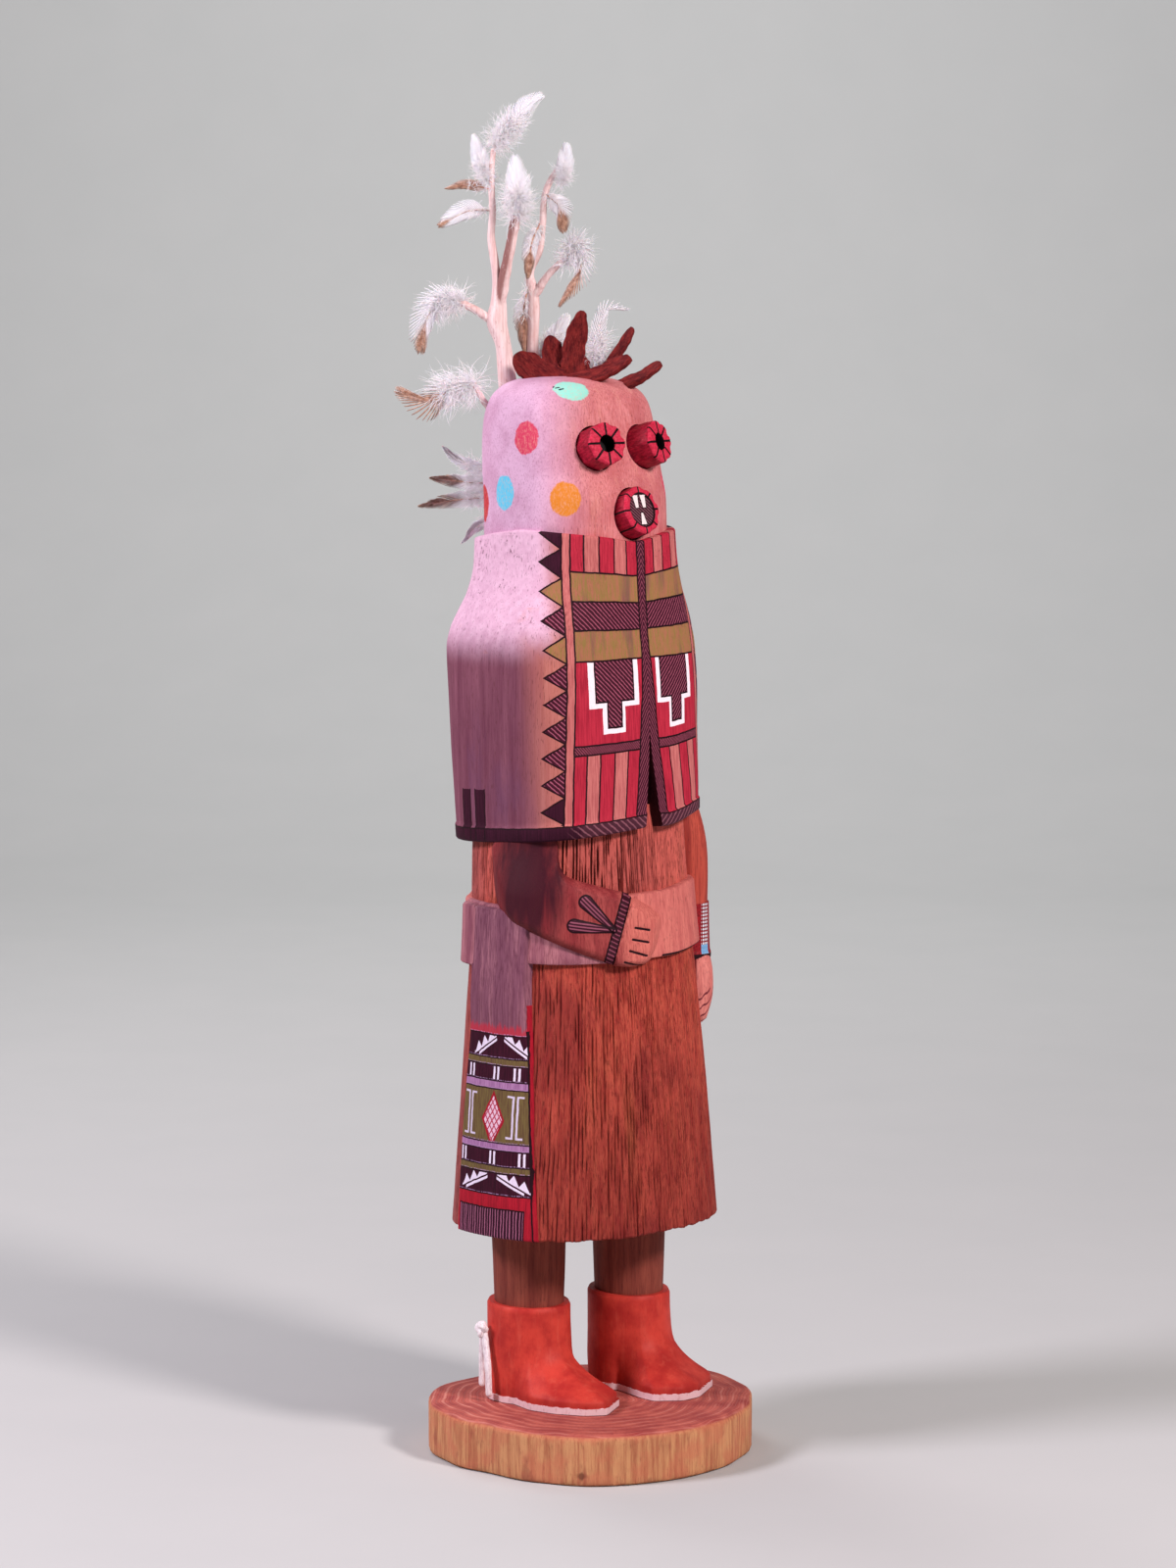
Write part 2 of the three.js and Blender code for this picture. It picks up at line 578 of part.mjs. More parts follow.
function figureSolid() {
  const head = toSolid(ovalLoft(headSections, headSquareness));
  const robe = toSolid(ovalLoft(robeSections, robeSquareness));
  const body = joined([robe, head, capeSolid(), beltAndSash(), rightArm(), leftArm(),
    bootSolid(rightLeg, rightSole), bootSolid(leftLeg, leftSole)]);
  const tubeSockets = tubes.map(({ matrix, size }) => (
    moved(toSolid(tubeGeometry(tubeProfile(...size, clearance))), matrix)));
  const petalSockets = petalList.map((petal) => moved(petalBlade(petal, clearance), facingMatrix));
  const twigSockets = Object.values(twigs).map((twig) => moved(twig(clearance), facingMatrix));
  return largest(body.subtract(joined([...tubeSockets, ...petalSockets, ...twigSockets])));
}

// Feathers

function featherSolid({ vane, breadth, down }) {
  const curve = new THREE.CatmullRomCurve3(vane.map((point) => new THREE.Vector3(...point)));
  const steps = 6;
  const points = curve.getPoints(steps).map((point) => point.toArray());
  const outlineAt = (share) => breadth * (0.16 + 0.84 * Math.sin(Math.PI * Math.min(1, share * 0.92 + 0.04)));
  const towards = new THREE.Vector3(0, -1, 0);
  const parts = [blade(points, outlineAt, featherThickness, towards)];
  down.forEach(([x, y, z, radius]) => parts.push(clump(x, y, z, radius)));
  return joined(parts);
}

function napeFeather({ x, back, rise, breadth }, order) {
  const rootHeight = napeHeight + rise * napeFan;
  const root = new THREE.Vector3((order - (napeTips.length - 1) / 2) * napeSpacing, napeBack, rootHeight);
  const tip = new THREE.Vector3(x, back, napeHeight + rise);
  const bend = root.clone().lerp(tip, 0.5);
  bend.y += 3.4;
  const curve = new THREE.CatmullRomCurve3([root, bend, tip]);
  const points = curve.getPoints(5).map((point) => point.toArray());
  const outlineAt = (share) => breadth * (0.3 + 0.7 * Math.sin(Math.PI * Math.min(1, share * 0.85 + 0.1)));
  return blade(points, outlineAt, featherThickness, new THREE.Vector3(0, 1, 0));
}

// Boot ties: a knot at the shaft and two hanging ends

function tieSolid(leg, bearing) {
  const reach = bootRadius + clearance + tieRadius;
  const angle = radians(bearing);
  const spot = (turn, z, out = 0) => [
    leg.x + (reach + out) * Math.cos(angle + radians(turn)),
    leg.y + (reach + out) * Math.sin(angle + radians(turn)), z, tieRadius];
  const ends = [
    bar([spot(0, tieKnotHeight + 1.4, 0.7), spot(-5, tieKnotHeight - 5, 0.5), spot(-6, tieLowEnd + 2, 0.4)], 5),
    bar([spot(0, tieKnotHeight + 1.2, 0.7), spot(6, tieKnotHeight - 6, 0.7), spot(10, tieLowEnd, 0.8)], 5),
  ];
  const [x, y, z] = spot(0, tieKnotHeight, 1.2);
  const knot = new THREE.IcosahedronGeometry(tieKnot, 0);
  knot.translate(x, y, z);
  const shaft = bar([[leg.x, leg.y, -1, bootRadius], [leg.x, leg.y, bootHeight + 1, bootRadius]], 32, clearance);
  return largest(joined([...ends, toSolid(knot)]).subtract(shaft));
}

// Colours and finish

const finish = {
  base: { color: 0x9a6038, roughness: 0.8 },
  figure: { color: 0xb06a42, roughness: 0.7 },
  tube: { color: 0xa8242c, roughness: 0.55 },
  petal: { color: 0x8a4a34, roughness: 0.9 },
  twig: { color: 0xe0bfb0, roughness: 0.8 },
  feather: { color: 0xe6d6cb, roughness: 0.9 },
  tie: { color: 0xeee8e4, roughness: 0.8 },
};

function mesh(name, geometry, look) {
  const material = new THREE.MeshStandardMaterial({ ...finish[look], metalness: 0 });
  const piece = new THREE.Mesh(geometry, material);
  piece.name = name;
  return piece;
}

// The scene graph

const doll = new THREE.Group();
doll.add(mesh('base', baseGeometry(), 'base'));

const standing = new THREE.Group();
standing.position.set(dollX, dollY, baseThickness);
doll.add(standing);

const figure = figureSolid();
standing.add(mesh('figure', toGeometry(figure), 'figure'));

tubes.forEach(({ name, matrix, size }) => {
  const tube = mesh(name, tubeGeometry(tubeProfile(...size)), 'tube');
  matrix.decompose(tube.position, tube.quaternion, tube.scale);
  standing.add(tube);
});

const headdress = new THREE.Group();
headdress.rotation.z = radians(facingTurn);
headdress.position.z = crownHeight;
standing.add(headdress);

petalList.forEach((petal, k) => {
  headdress.add(mesh(`petal_${k + 1}`, toGeometry(petalBlade(petal)), 'petal'));
});

Object.entries(twigs).forEach(([name, make]) => {
  headdress.add(mesh(name, toGeometry(make(0)), 'twig'));
});

const twigSpace = joined(Object.values(twigs).map((twig) => twig(clearance)));
const headSpace = toSolid(ovalLoft(headSections, headSquareness, clearance));
const capeSpace = toSolid(ovalLoft(capeSections, capeSquareness, clearance, collarRise));
const turnedHeadSpace = moved(headSpace, facingMatrix.clone().invert());
featherList.forEach((feather) => {
  const solid = largest(featherSolid(feather).subtract(twigSpace).subtract(turnedHeadSpace));
  headdress.add(mesh(feather.name, toGeometry(solid), 'feather'));
});

napeTips.forEach((tip, order) => {
  const solid = largest(napeFeather(tip, order).subtract(headSpace).subtract(capeSpace));
  standing.add(mesh(`feather_nape_${order + 1}`, toGeometry(solid), 'feather'));
});

standing.add(mesh('boot_tie_right', toGeometry(tieSolid(rightLeg, tieBearing.right)), 'tie'));
standing.add(mesh('boot_tie_left', toGeometry(tieSolid(leftLeg, tieBearing.left)), 'tie'));

export default doll;
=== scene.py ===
"""The looks of the carved kachina doll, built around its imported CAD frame.

Shapes are worked out in millimetres in the doll's own frame. Its axis stands on the log slice's top at PLACE,
the doll faces -Y and its right hand is towards -X.
"""

import math

import bpy
import numpy as np
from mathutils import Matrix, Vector, geometry


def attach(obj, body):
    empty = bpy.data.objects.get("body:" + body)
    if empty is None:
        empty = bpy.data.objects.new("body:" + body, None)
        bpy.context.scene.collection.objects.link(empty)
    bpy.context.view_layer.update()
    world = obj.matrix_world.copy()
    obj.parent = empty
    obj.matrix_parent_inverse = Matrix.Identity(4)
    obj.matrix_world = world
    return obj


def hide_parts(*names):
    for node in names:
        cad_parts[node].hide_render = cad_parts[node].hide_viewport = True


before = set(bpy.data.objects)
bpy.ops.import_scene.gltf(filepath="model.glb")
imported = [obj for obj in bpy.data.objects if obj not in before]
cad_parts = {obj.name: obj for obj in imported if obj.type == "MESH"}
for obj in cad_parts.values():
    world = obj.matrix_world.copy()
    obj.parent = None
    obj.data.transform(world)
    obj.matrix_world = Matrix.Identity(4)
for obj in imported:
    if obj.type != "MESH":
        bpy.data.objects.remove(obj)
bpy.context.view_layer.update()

MM = 0.001
PLACE = np.array([10.0, 11.0, 14.0])
ROOT = "root"

# The plane turned to face the photo's camera: across it, away from the camera, and up
FACING = math.radians(-47)
RIGHT = np.array([math.cos(FACING), math.sin(FACING), 0])
AHEAD = np.array([-math.sin(FACING), math.cos(FACING), 0])
UP = np.array([0, 0, 1])

# Heights above the top of the slice
HEM = 46.8
RIM = 157.9
SHOULDER = 208.3
COLLAR = 239.0
COLLAR_RISE = 2.6
CROWN = 282.5
BELT_LOW = 121.5
BELT_HIGH = 139.5


# Numbers and curves


def smooth(xs, ys, at):
    """A smooth curve through the points that doesn't overshoot them."""
    x = np.asarray(xs, float)
    y = np.asarray(ys, float)
    step = np.diff(x)
    rate = np.diff(y) / step
    slope = np.zeros_like(y)
    for k in range(1, len(x) - 1):
        if rate[k - 1] * rate[k] > 0:
            before = 2 * step[k] + step[k - 1]
            after = step[k] + 2 * step[k - 1]
            slope[k] = (before + after) / (before / rate[k - 1] + after / rate[k])
    slope[0] = rate[0]
    slope[-1] = rate[-1]
    place = np.clip(np.asarray(at, float), x[0], x[-1])
    k = np.clip(np.searchsorted(x, place) - 1, 0, len(step) - 1)
    t = (place - x[k]) / step[k]
    return (
        (1 + 2 * t) * (1 - t) ** 2 * y[k]
        + t * (1 - t) ** 2 * step[k] * slope[k]
        + t * t * (3 - 2 * t) * y[k + 1]
        + t * t * (t - 1) * step[k] * slope[k + 1]
    )


NOISE = np.random.default_rng(7).random((256, 256))


def field(x, y):
    """Smooth random values from 0 to 1 over a plane, one change per unit."""
    x = np.asarray(x, float)
    y = np.asarray(y, float)
    i = np.floor(x).astype(int)
    j = np.floor(y).astype(int)
    u = x - i
    v = y - j
    u = u * u * (3 - 2 * u)
    v = v * v * (3 - 2 * v)
    low = NOISE[i % 256, j % 256] * (1 - u) + NOISE[(i + 1) % 256, j % 256] * u
    high = NOISE[i % 256, (j + 1) % 256] * (1 - u) + NOISE[(i + 1) % 256, (j + 1) % 256] * u
    return low * (1 - v) + high * v


def eased(share):
    share = np.clip(share, 0, 1)
    return share * share * (3 - 2 * share)


def spline(points, count):
    """Even points on a smooth line through the given ones, with any further columns carried along."""
    p = np.asarray(points, float)
    run = np.concatenate([[0], np.cumsum(np.linalg.norm(np.diff(p[:, :3], axis=0), axis=1))])
    at = np.linspace(0, run[-1], count)
    first = 2 * p[0] - p[1]
    last = 2 * p[-1] - p[-2]
    full = np.vstack([first, p, last])
    k = np.clip(np.searchsorted(run, at) - 1, 0, len(p) - 2)
    t = ((at - run[k]) / (run[k + 1] - run[k]))[:, None]
    a, b, c, d = (full[k + step] for step in range(4))
    bent = (2 * a - 5 * b + 4 * c - d) * t**2 + (3 * b - a - 3 * c + d) * t**3
    return 0.5 * (2 * b + (c - a) * t + bent)


# Meshes


def write_values(mesh, name, data):
    """Stores a number or a vector for each point of a mesh."""
    if name in mesh.attributes:
        mesh.attributes.remove(mesh.attributes[name])
    wide = np.ndim(data) == 2
    attribute = mesh.attributes.new(name, "FLOAT_VECTOR" if wide else "FLOAT", "POINT")
    attribute.data.foreach_set("vector" if wide else "value", np.asarray(data, np.float32).ravel())


def read_points(mesh):
    """A mesh's points in millimetres, from the doll's own axis."""
    flat = np.zeros(len(mesh.vertices) * 3)
    mesh.vertices.foreach_get("co", flat)
    return flat.reshape(-1, 3) / MM - PLACE


class Form:
    """Vertices, faces and point values that become one mesh."""

    def __init__(self):
        self.verts = []
        self.faces = []
        self.values = {}
        self.count = 0

    def add(self, verts, faces, **values):
        verts = np.asarray(verts, float)
        self.faces += [[corner + self.count for corner in face] for face in faces]
        self.verts.append(verts)
        for name, value in values.items():
            self.values.setdefault(name, []).append((self.count, value))
        self.count += len(verts)
        return self

    def build(self, name, looks, place=PLACE):
        mesh = bpy.data.meshes.new(name)
        verts = np.vstack(self.verts)
        mesh.from_pydata(((verts + place) * MM).tolist(), [], self.faces)
        for key, parts in self.values.items():
            data = np.zeros((self.count, 3) if parts[0][1].ndim == 2 else self.count)
            for start, value in parts:
                data[start : start + len(value)] = value
            write_values(mesh, key, data)
        for look in looks:
            mesh.materials.append(look)
        mesh.validate()
        mesh.shade_smooth()
        obj = bpy.data.objects.new(name, mesh)
        bpy.context.scene.collection.objects.link(obj)
        return obj


def lofted(rings):
    """A closed body through rings of points, given as an array of levels by sides by three."""
    levels, sides = rings.shape[:2]
    verts = np.vstack([rings.reshape(-1, 3), rings[0].mean(0)[None], rings[-1].mean(0)[None]])
    here = np.arange(sides)
    after = (here + 1) % sides
    faces = []
    for level in range(levels - 1):
        low = level * sides
        high = low + sides
        faces += np.stack([low + here, low + after, high + after, high + here], 1).tolist()
    end = levels * sides
    top = end - sides
    faces += np.stack([np.full(sides, end), after, here], 1).tolist()
    faces += np.stack([np.full(sides, end + 1), top + here, top + after], 1).tolist()
    return verts, faces


def frames(path, first=None):
    """Two directions across a path at each point, carried along it without twist."""
    ways = np.gradient(path, axis=0)
    ways /= np.linalg.norm(ways, axis=1)[:, None]
    side = np.array([0.0, 1.0, 0.0]) if first is None else np.asarray(first, float)
    if abs(side @ ways[0]) > 0.95:
        side = np.array([1.0, 0.0, 0.0])
    sides = []
    for way in ways:
        side = side - way * (side @ way)
        side /= np.linalg.norm(side)
        sides.append(side.copy())
    sides = np.array(sides)
    return ways, sides, np.cross(ways, sides)


def swept(path, radii, sides=12, flat=1.0, first=None, rounded=True, wobble=None):
    """Rings round a path; flat squeezes the section across the carried direction."""
    path = np.asarray(path, float)
    radii = np.asarray(radii, float)
    ways, side, other = frames(path, first)
    if rounded:
        bends = np.radians([80, 55, 28])
        start = [path[0] - ways[0] * radii[0] * math.sin(a) * 0.8 for a in bends]
        finish = [path[-1] + ways[-1] * radii[-1] * math.sin(a) * 0.8 for a in bends[::-1]]
        path = np.vstack([start, path, finish])
        radii = np.concatenate([radii[0] * np.cos(bends), radii, radii[-1] * np.cos(bends[::-1])])
        side = np.vstack([[side[0]] * 3, side, [side[-1]] * 3])
        other = np.vstack([[other[0]] * 3, other, [other[-1]] * 3])
    angle = np.arange(sides) / sides * 2 * math.pi
    reach = np.repeat(radii[:, None], sides, 1)
    if wobble is not None:
        reach = reach * wobble(np.arange(len(path))[:, None], angle[None])
    return (
        path[:, None]
        + side[:, None] * (reach * np.cos(angle))[..., None] * flat
        + other[:, None] * (reach * np.sin(angle))[..., None]
    )


def oval(sections, squareness, at, angles, grow=0.0):
    """Rings of the carved body: sections are height, half width, depth in front, depth behind."""
    table = np.asarray(sections, float)
    half, front, back = (smooth(table[:, 0], table[:, k], at)[:, None] for k in (1, 2, 3))
    c = np.cos(angles)
    s = np.sin(angles)
    depth = np.where(s < 0, front, back) + grow
    reach = (np.abs(c / (half + grow)) ** squareness + np.abs(s / depth) ** squareness) ** (-1 / squareness)
    return reach * c, reach * s


def turned(count):
    return np.arange(count) / count * 2 * math.pi


# The carved body's sections, as in the solids


def rows_between(low, high, rows):
    """Sections whose first number is a share of the way from one height to another."""
    return [[low + (high - low) * share, *row] for share, *row in rows]


ROBE = rows_between(HEM, RIM, [
    [0, 38.3, 32.2, 31.4],
    [0.24, 36.8, 29.8, 29.6],
    [0.5, 34.6, 27.2, 28.2],
    [0.74, 32.2, 24.2, 27.6],
    [0.945, 31, 22, 27.8],
]) + [[RIM + 12, 30, 20.8, 28]]
CAPE = rows_between(RIM, SHOULDER, [
    [0, 32.4, 24.8, 31],
    [0.24, 32.7, 24.2, 32],
    [0.52, 33, 23.4, 33.2],
    [0.78, 33.3, 22.8, 34.4],
]) + rows_between(SHOULDER, COLLAR, [
    [0, 33.2, 21.8, 35],
    [0.17, 32.2, 21.2, 34.2],
    [0.34, 30.2, 20.8, 32.2],
    [0.51, 27.9, 20.4, 30.2],
    [0.77, 26, 20, 28.8],
    [1, 25.5, 19.6, 28.8],
])
# The head's sections also say how far back their middle lies
HEAD = rows_between(COLLAR, CROWN, [
    [-0.14, 24.3, 18.4, 27.2, 0],
    [0.225, 24.3, 17.8, 27.2, 0],
    [0.411, 24.2, 15.2, 28, 0],
    [0.595, 23.9, 12.8, 28.4, 0],
    [0.72, 23.3, 11.4, 28.2, 0],
    [0.825, 22.2, 10.7, 27, 0.8],
    [0.899, 20.4, 9.6, 25, 2.4],
    [0.956, 17, 7, 22, 4.8],
    [0.989, 12.5, 2.5, 18, 6.6],
    [1, 7, -2, 13, 7.5],
]) + [[CROWN + 0.2, 0.4, -7.2, 7.8, 7.5]]
ROBE_SQUARE = 2.4
CAPE_SQUARE = 2.9
HEAD_SQUARE = 2.5
SEAM_X = 1.2
SLIT_TOP = 187.0
HEM_LIFT = 2.2


# Carved surfaces


def groove_depth(angle, height):
    """How deep the robe's upright gouge marks are cut, in millimetres."""
    pitch = 1.04
    girth = 208
    along = angle / (2 * math.pi) * girth
    drift = 0.8 * field(along / 6.5 + 40, height / 34 + 3)
    phase = along / pitch + drift + 0.45 * field(along / 1.9, height / 8)
    nearest = np.round(phase)
    away = np.abs(phase - nearest) * 2
    dash = eased((field(nearest * 1.7 + 11, height / 6.5 + nearest * 5.3) - 0.18) / 0.62)
    strong = 1 + 0.75 * eased((height - BELT_HIGH) / 4)
    return (0.06 + 0.56 * dash) * strong * np.clip(1 - away, 0, 1) ** 1.7


def robe_form():
    angles = turned(960)
    heights = np.concatenate([[HEM], np.linspace(HEM + 0.5, RIM + 8, 74)])
    x, y = oval(ROBE, ROBE_SQUARE, heights, angles)
    level = heights[:, None]
    depth = groove_depth(angles[None], level) + 0.12 * field(angles[None] * 9, level / 8)
    depth = depth + np.where(level == HEM, 0.5, 0)
    shrink = 1 - depth / np.hypot(x, y)
    ragged = 0.7 * (field(angles * 26, 2.5) - 0.5)
    z = np.repeat(level, len(angles), 1)
    z = z + ragged * np.clip(1 - (z - HEM) / 3, 0, 1) + HEM_LIFT * np.clip(1 - (z - HEM) / 50, 0, 1)
    return lofted(np.stack([x * shrink, y * shrink, z], 2))


def rim_shift(x, y):
    """The cape's lower edge dips towards the sides and the back, and stands higher on the doll's left."""
    return 0.6 - 0.07 * y - 0.058 * np.abs(x) + 4.0 * eased((x - 5) / 22)


def collar_lift(angle):
    """The collar stands higher at the sides, and dips behind and in front under the mouth."""
    front = np.abs((angle - 1.5 * math.pi + math.pi) % (2 * math.pi) - math.pi)
    behind = np.clip(np.sin(angle), 0, 1)
    return COLLAR_RISE * np.cos(angle) ** 2 - 2.2 * behind - 0.9 * np.exp(-((front / 0.34) ** 2))


def cape_form():
    angles = turned(220)
    low = [[RIM, -0.5], [RIM + 0.25, 0.05], [RIM + 0.7, 0.35]]
    low += [[RIM + 3.9, 0.35], [RIM + 4.25, 0.2], [RIM + 4.5, 0]]
    middle = [[z, 0] for z in np.linspace(RIM + 5.5, COLLAR - 1.2, 62)]
    high = [[COLLAR - 0.5, 0], [COLLAR - 0.12, -0.18], [COLLAR, -0.5]]
    rings = []
    for z, grow in low + middle + high:
        x, y = oval(CAPE, CAPE_SQUARE, np.array([z]), angles, grow)
        x, y = x[0], y[0]
        share = np.clip((SHOULDER - z) / (SHOULDER - RIM), 0, 1)
        lift = collar_lift(angles) * np.clip((z - SHOULDER) / (COLLAR - SHOULDER), 0, 1)
        ripple = 1 + 0.25 / 30 * (field(angles * 5 + 3, z / 14) - 0.5)
        rings.append(np.stack([x * ripple, y * ripple, z + rim_shift(x, y) * share + lift], 1))
    return lofted(np.array(rings))


def head_form():
    table = np.array(HEAD)
    run = np.concatenate([[0], np.cumsum(np.hypot(np.diff(table[:, 0]), np.diff(table[:, 1])))])
    at = np.linspace(0, run[-1], 76)
    angles = turned(180)
    z, half, front, back, middle = (smooth(run, table[:, k], at)[:, None] for k in range(5))
    c = np.cos(angles)
    s = np.sin(angles)
    depth = np.where(s < 0, front + middle, back - middle)
    reach = (np.abs(c / half) ** HEAD_SQUARE + np.abs(s / depth) ** HEAD_SQUARE) ** (-1 / HEAD_SQUARE)
    uneven = 1 + 0.006 * (field(angles[None] * 3 + 9, z / 11) - 0.5)
    ring = np.stack([reach * c * uneven, reach * s * uneven + middle, np.repeat(z, len(angles), 1)], 2)
    return lofted(ring)


def belt_lift(angles):
    """The belt runs higher everywhere but behind the sash's top, and highest on the doll's left."""
    bearing = np.degrees(angles)
    covered = eased((bearing - 112) / 20) * eased((194 - bearing) / 7)
    left = eased((np.cos(angles) - 0.15) / 0.6)
    return 2.7 * (1 - covered) + 1.0 * left


def belt_form():
    angles = turned(200)
    profile = [[BELT_LOW, -2], [BELT_LOW, 0.9], [BELT_LOW + 0.2, 1.3], [BELT_LOW + 0.7, 1.5]]
    profile += [[z, 1.5] for z in np.linspace(BELT_LOW + 2, BELT_HIGH - 2, 7)]
    profile += [[BELT_HIGH - 0.7, 1.5], [BELT_HIGH - 0.2, 1.3], [BELT_HIGH, 0.9], [BELT_HIGH, -2]]
    rings = []
    for z, grow in profile:
        x, y = oval(ROBE, ROBE_SQUARE, np.array([z]), angles, grow)
        wave = 0.35 * (field(angles * 4, 7.5) - 0.5)
        rings.append(np.stack([x[0], y[0], z + wave + belt_lift(angles)], 1))
    return lofted(np.array(rings))


def onto_robe(across, height, grow, turn):
    """Points of the grown robe seen straight on from a plane turned about the axis."""
    table = np.asarray(ROBE, float)
    half, front, back = (smooth(table[:, 0], table[:, k], height) for k in (1, 2, 3))
    grow = np.broadcast_to(np.asarray(grow, float), np.shape(across))
    right = np.array([math.cos(turn), math.sin(turn)])
    ahead = np.array([-math.sin(turn), math.cos(turn)])

    def outside(t):
        x = across * right[0] + t * ahead[0]
        y = across * right[1] + t * ahead[1]
        depth = np.where(y < 0, front, back) + grow
        return np.abs(x / (half + grow)) ** ROBE_SQUARE + np.abs(y / depth) ** ROBE_SQUARE - 1

    steps = np.linspace(-60, 20, 161)
    values = np.array([outside(np.full(np.shape(across), t)) for t in steps])
    found = np.argmax(values < 0, axis=0)
    missed = ~(values < 0).any(axis=0)
    found = np.where(missed, np.argmin(values, axis=0), found)
    far = steps[found]
    near = np.where(missed, far, steps[np.maximum(found - 1, 0)])
    for _ in range(26):
        centre = (far + near) / 2
        is_in = outside(centre) < 0
        far = np.where(is_in, centre, far)
        near = np.where(is_in, near, centre)
    x = across * right[0] + far * ahead[0]
    y = across * right[1] + far * ahead[1]
    return np.stack([x, y, height], 1)


def edge_distance(points, outline):
    """Distance of each point to a closed outline, positive inside it."""
    start = outline
    end = np.roll(outline, -1, axis=0)
    run = end - start
    size = np.maximum((run**2).sum(1), 1e-12)
    offset = points[:, None] - start[None]
    share = np.clip((offset * run).sum(2) / size, 0, 1)
    gap = np.linalg.norm(offset - share[..., None] * run, axis=2).min(1)
    x, y = points[:, 0][:, None], points[:, 1][:, None]
    crosses = (start[:, 1] > y) != (end[:, 1] > y)
    rise = np.where(run[:, 1] == 0, 1e-9, run[:, 1])
    left = x < run[:, 0] * (y - start[:, 1]) / rise + start[:, 0]
    inside = (crosses & left).sum(1) % 2 == 1
    return np.where(inside, gap, -gap)


def rounded_outline(points, rounds=2, cut=0.2):
    outline = np.asarray(points, float)
    for _ in range(rounds):
        after = np.roll(outline, -1, axis=0)
        near = outline * (1 - cut) + after * cut
        far = outline * cut + after * (1 - cut)
        outline = np.stack([near, far], 1).reshape(-1, 2)
    return outline


def resampled(outline, spacing):
    closed = np.vstack([outline, outline[:1]])
    run = np.concatenate([[0], np.cumsum(np.linalg.norm(np.diff(closed, axis=0), axis=1))])
    count = int(run[-1] / spacing)
    at = np.arange(count) / count * run[-1]
    return np.stack([np.interp(at, run, closed[:, 0]), np.interp(at, run, closed[:, 1])], 1)


def relief(outline, heights, turn, spacing=0.7, foot=-3.0, insets=(0.1, 0.3, 0.6, 1.0, 1.6, 2.4)):
    """A raised patch on the robe: an outline on a turned plane, and its height at each point inside."""
    border = resampled(outline, spacing)
    low = border.min(0)
    high = border.max(0)
    points = [border]
    ahead = np.roll(border, -1, axis=0) - np.roll(border, 1, axis=0)
    ahead /= np.linalg.norm(ahead, axis=1)[:, None]
    inward = np.stack([-ahead[:, 1], ahead[:, 0]], 1)
    if edge_distance(border[:1] + inward[:1] * 0.05, border)[0] < 0:
        inward = -inward
    for inset in insets:
        ring = border + inward * inset
        points.append(ring[edge_distance(ring, border) > inset * 0.9])
    x, y = np.meshgrid(np.arange(low[0], high[0], spacing), np.arange(low[1], high[1], spacing))
    grid = np.stack([x.ravel(), y.ravel()], 1)
    points.append(grid[edge_distance(grid, border) > insets[-1] + spacing * 0.5])
    flat = np.vstack(points)
    count = len(border)
    edges = [(k, (k + 1) % count) for k in range(count)]
    result = geometry.delaunay_2d_cdt([Vector(p) for p in flat], edges, [], 1, 1e-7)
    flat = np.array([list(p) for p in result[0]])
    faces = [list(face) for face in result[2]]
    top = onto_robe(flat[:, 0], flat[:, 1], heights(flat), turn)
    bottom = onto_robe(flat[:, 0], flat[:, 1], np.full(len(flat), foot), turn)
    size = len(flat)
    uses = {}
    for face in faces:
        for a, b in zip(face, face[1:] + face[:1]):
            uses[(a, b)] = uses.get((a, b), 0) + 1
    walls = [[b, a, a + size, b + size] for (a, b) in uses if (b, a) not in uses]
    under = [[corner + size for corner in reversed(face)] for face in faces]
    return np.vstack([top, bottom]), faces + under + walls


def quarter_round(distance, height, radius, foot=-1.0):
    """A height that rises from foot at the outline to its full value, along a quarter circle."""
    share = np.clip(distance / radius, 0, 1)
    return foot + (height - foot) * np.sqrt(np.clip(1 - (1 - share) ** 2, 0, 1))


def line_distance(points, start, end):
    start = np.asarray(start, float)
    run = np.asarray(end, float) - start
    share = np.clip(((points - start) @ run) / (run @ run), 0, 1)
    return np.linalg.norm(points - start - share[:, None] * run, axis=1)


ARM_OUTLINE = [
    [-25.8, 3], [-24.4, -18.4], [-20.7, -23.1], [-15.4, -25.1], [-5.7, -29.3], [4.1, -33.3], [11.6, -35.7],
    [17.6, -35.3], [20.3, -30.8], [21.9, -22.7], [18.2, -19.1], [12.4, -15.6], [2, -12.3], [-6.8, -9.3],
    [-7.1, 3],
]
HAND_OUTLINE = [
    [6.2, -34.5], [11.8, -35.4], [17.4, -35], [20, -30.8], [21.6, -22.9], [18, -19.3], [11.9, -15.2],
]
WRIST_LOW = np.array([6.2, -34.9])
WRIST_HIGH = np.array([11.9, -14.4])
FINGERS = [
    [[13.9, -24.3], [17.7, -25.3]],
    [[13.2, -27.4], [17.4, -28.6]],
    [[12.4, -30.4], [17.0, -32.2]],
    [[11.0, -33.3], [15.6, -35.2]],
]
KNOT = np.array([8.1, -24.5])
BOW_ENDS = [np.array([0.5, -16.6]), np.array([-2.6, -22.8])]


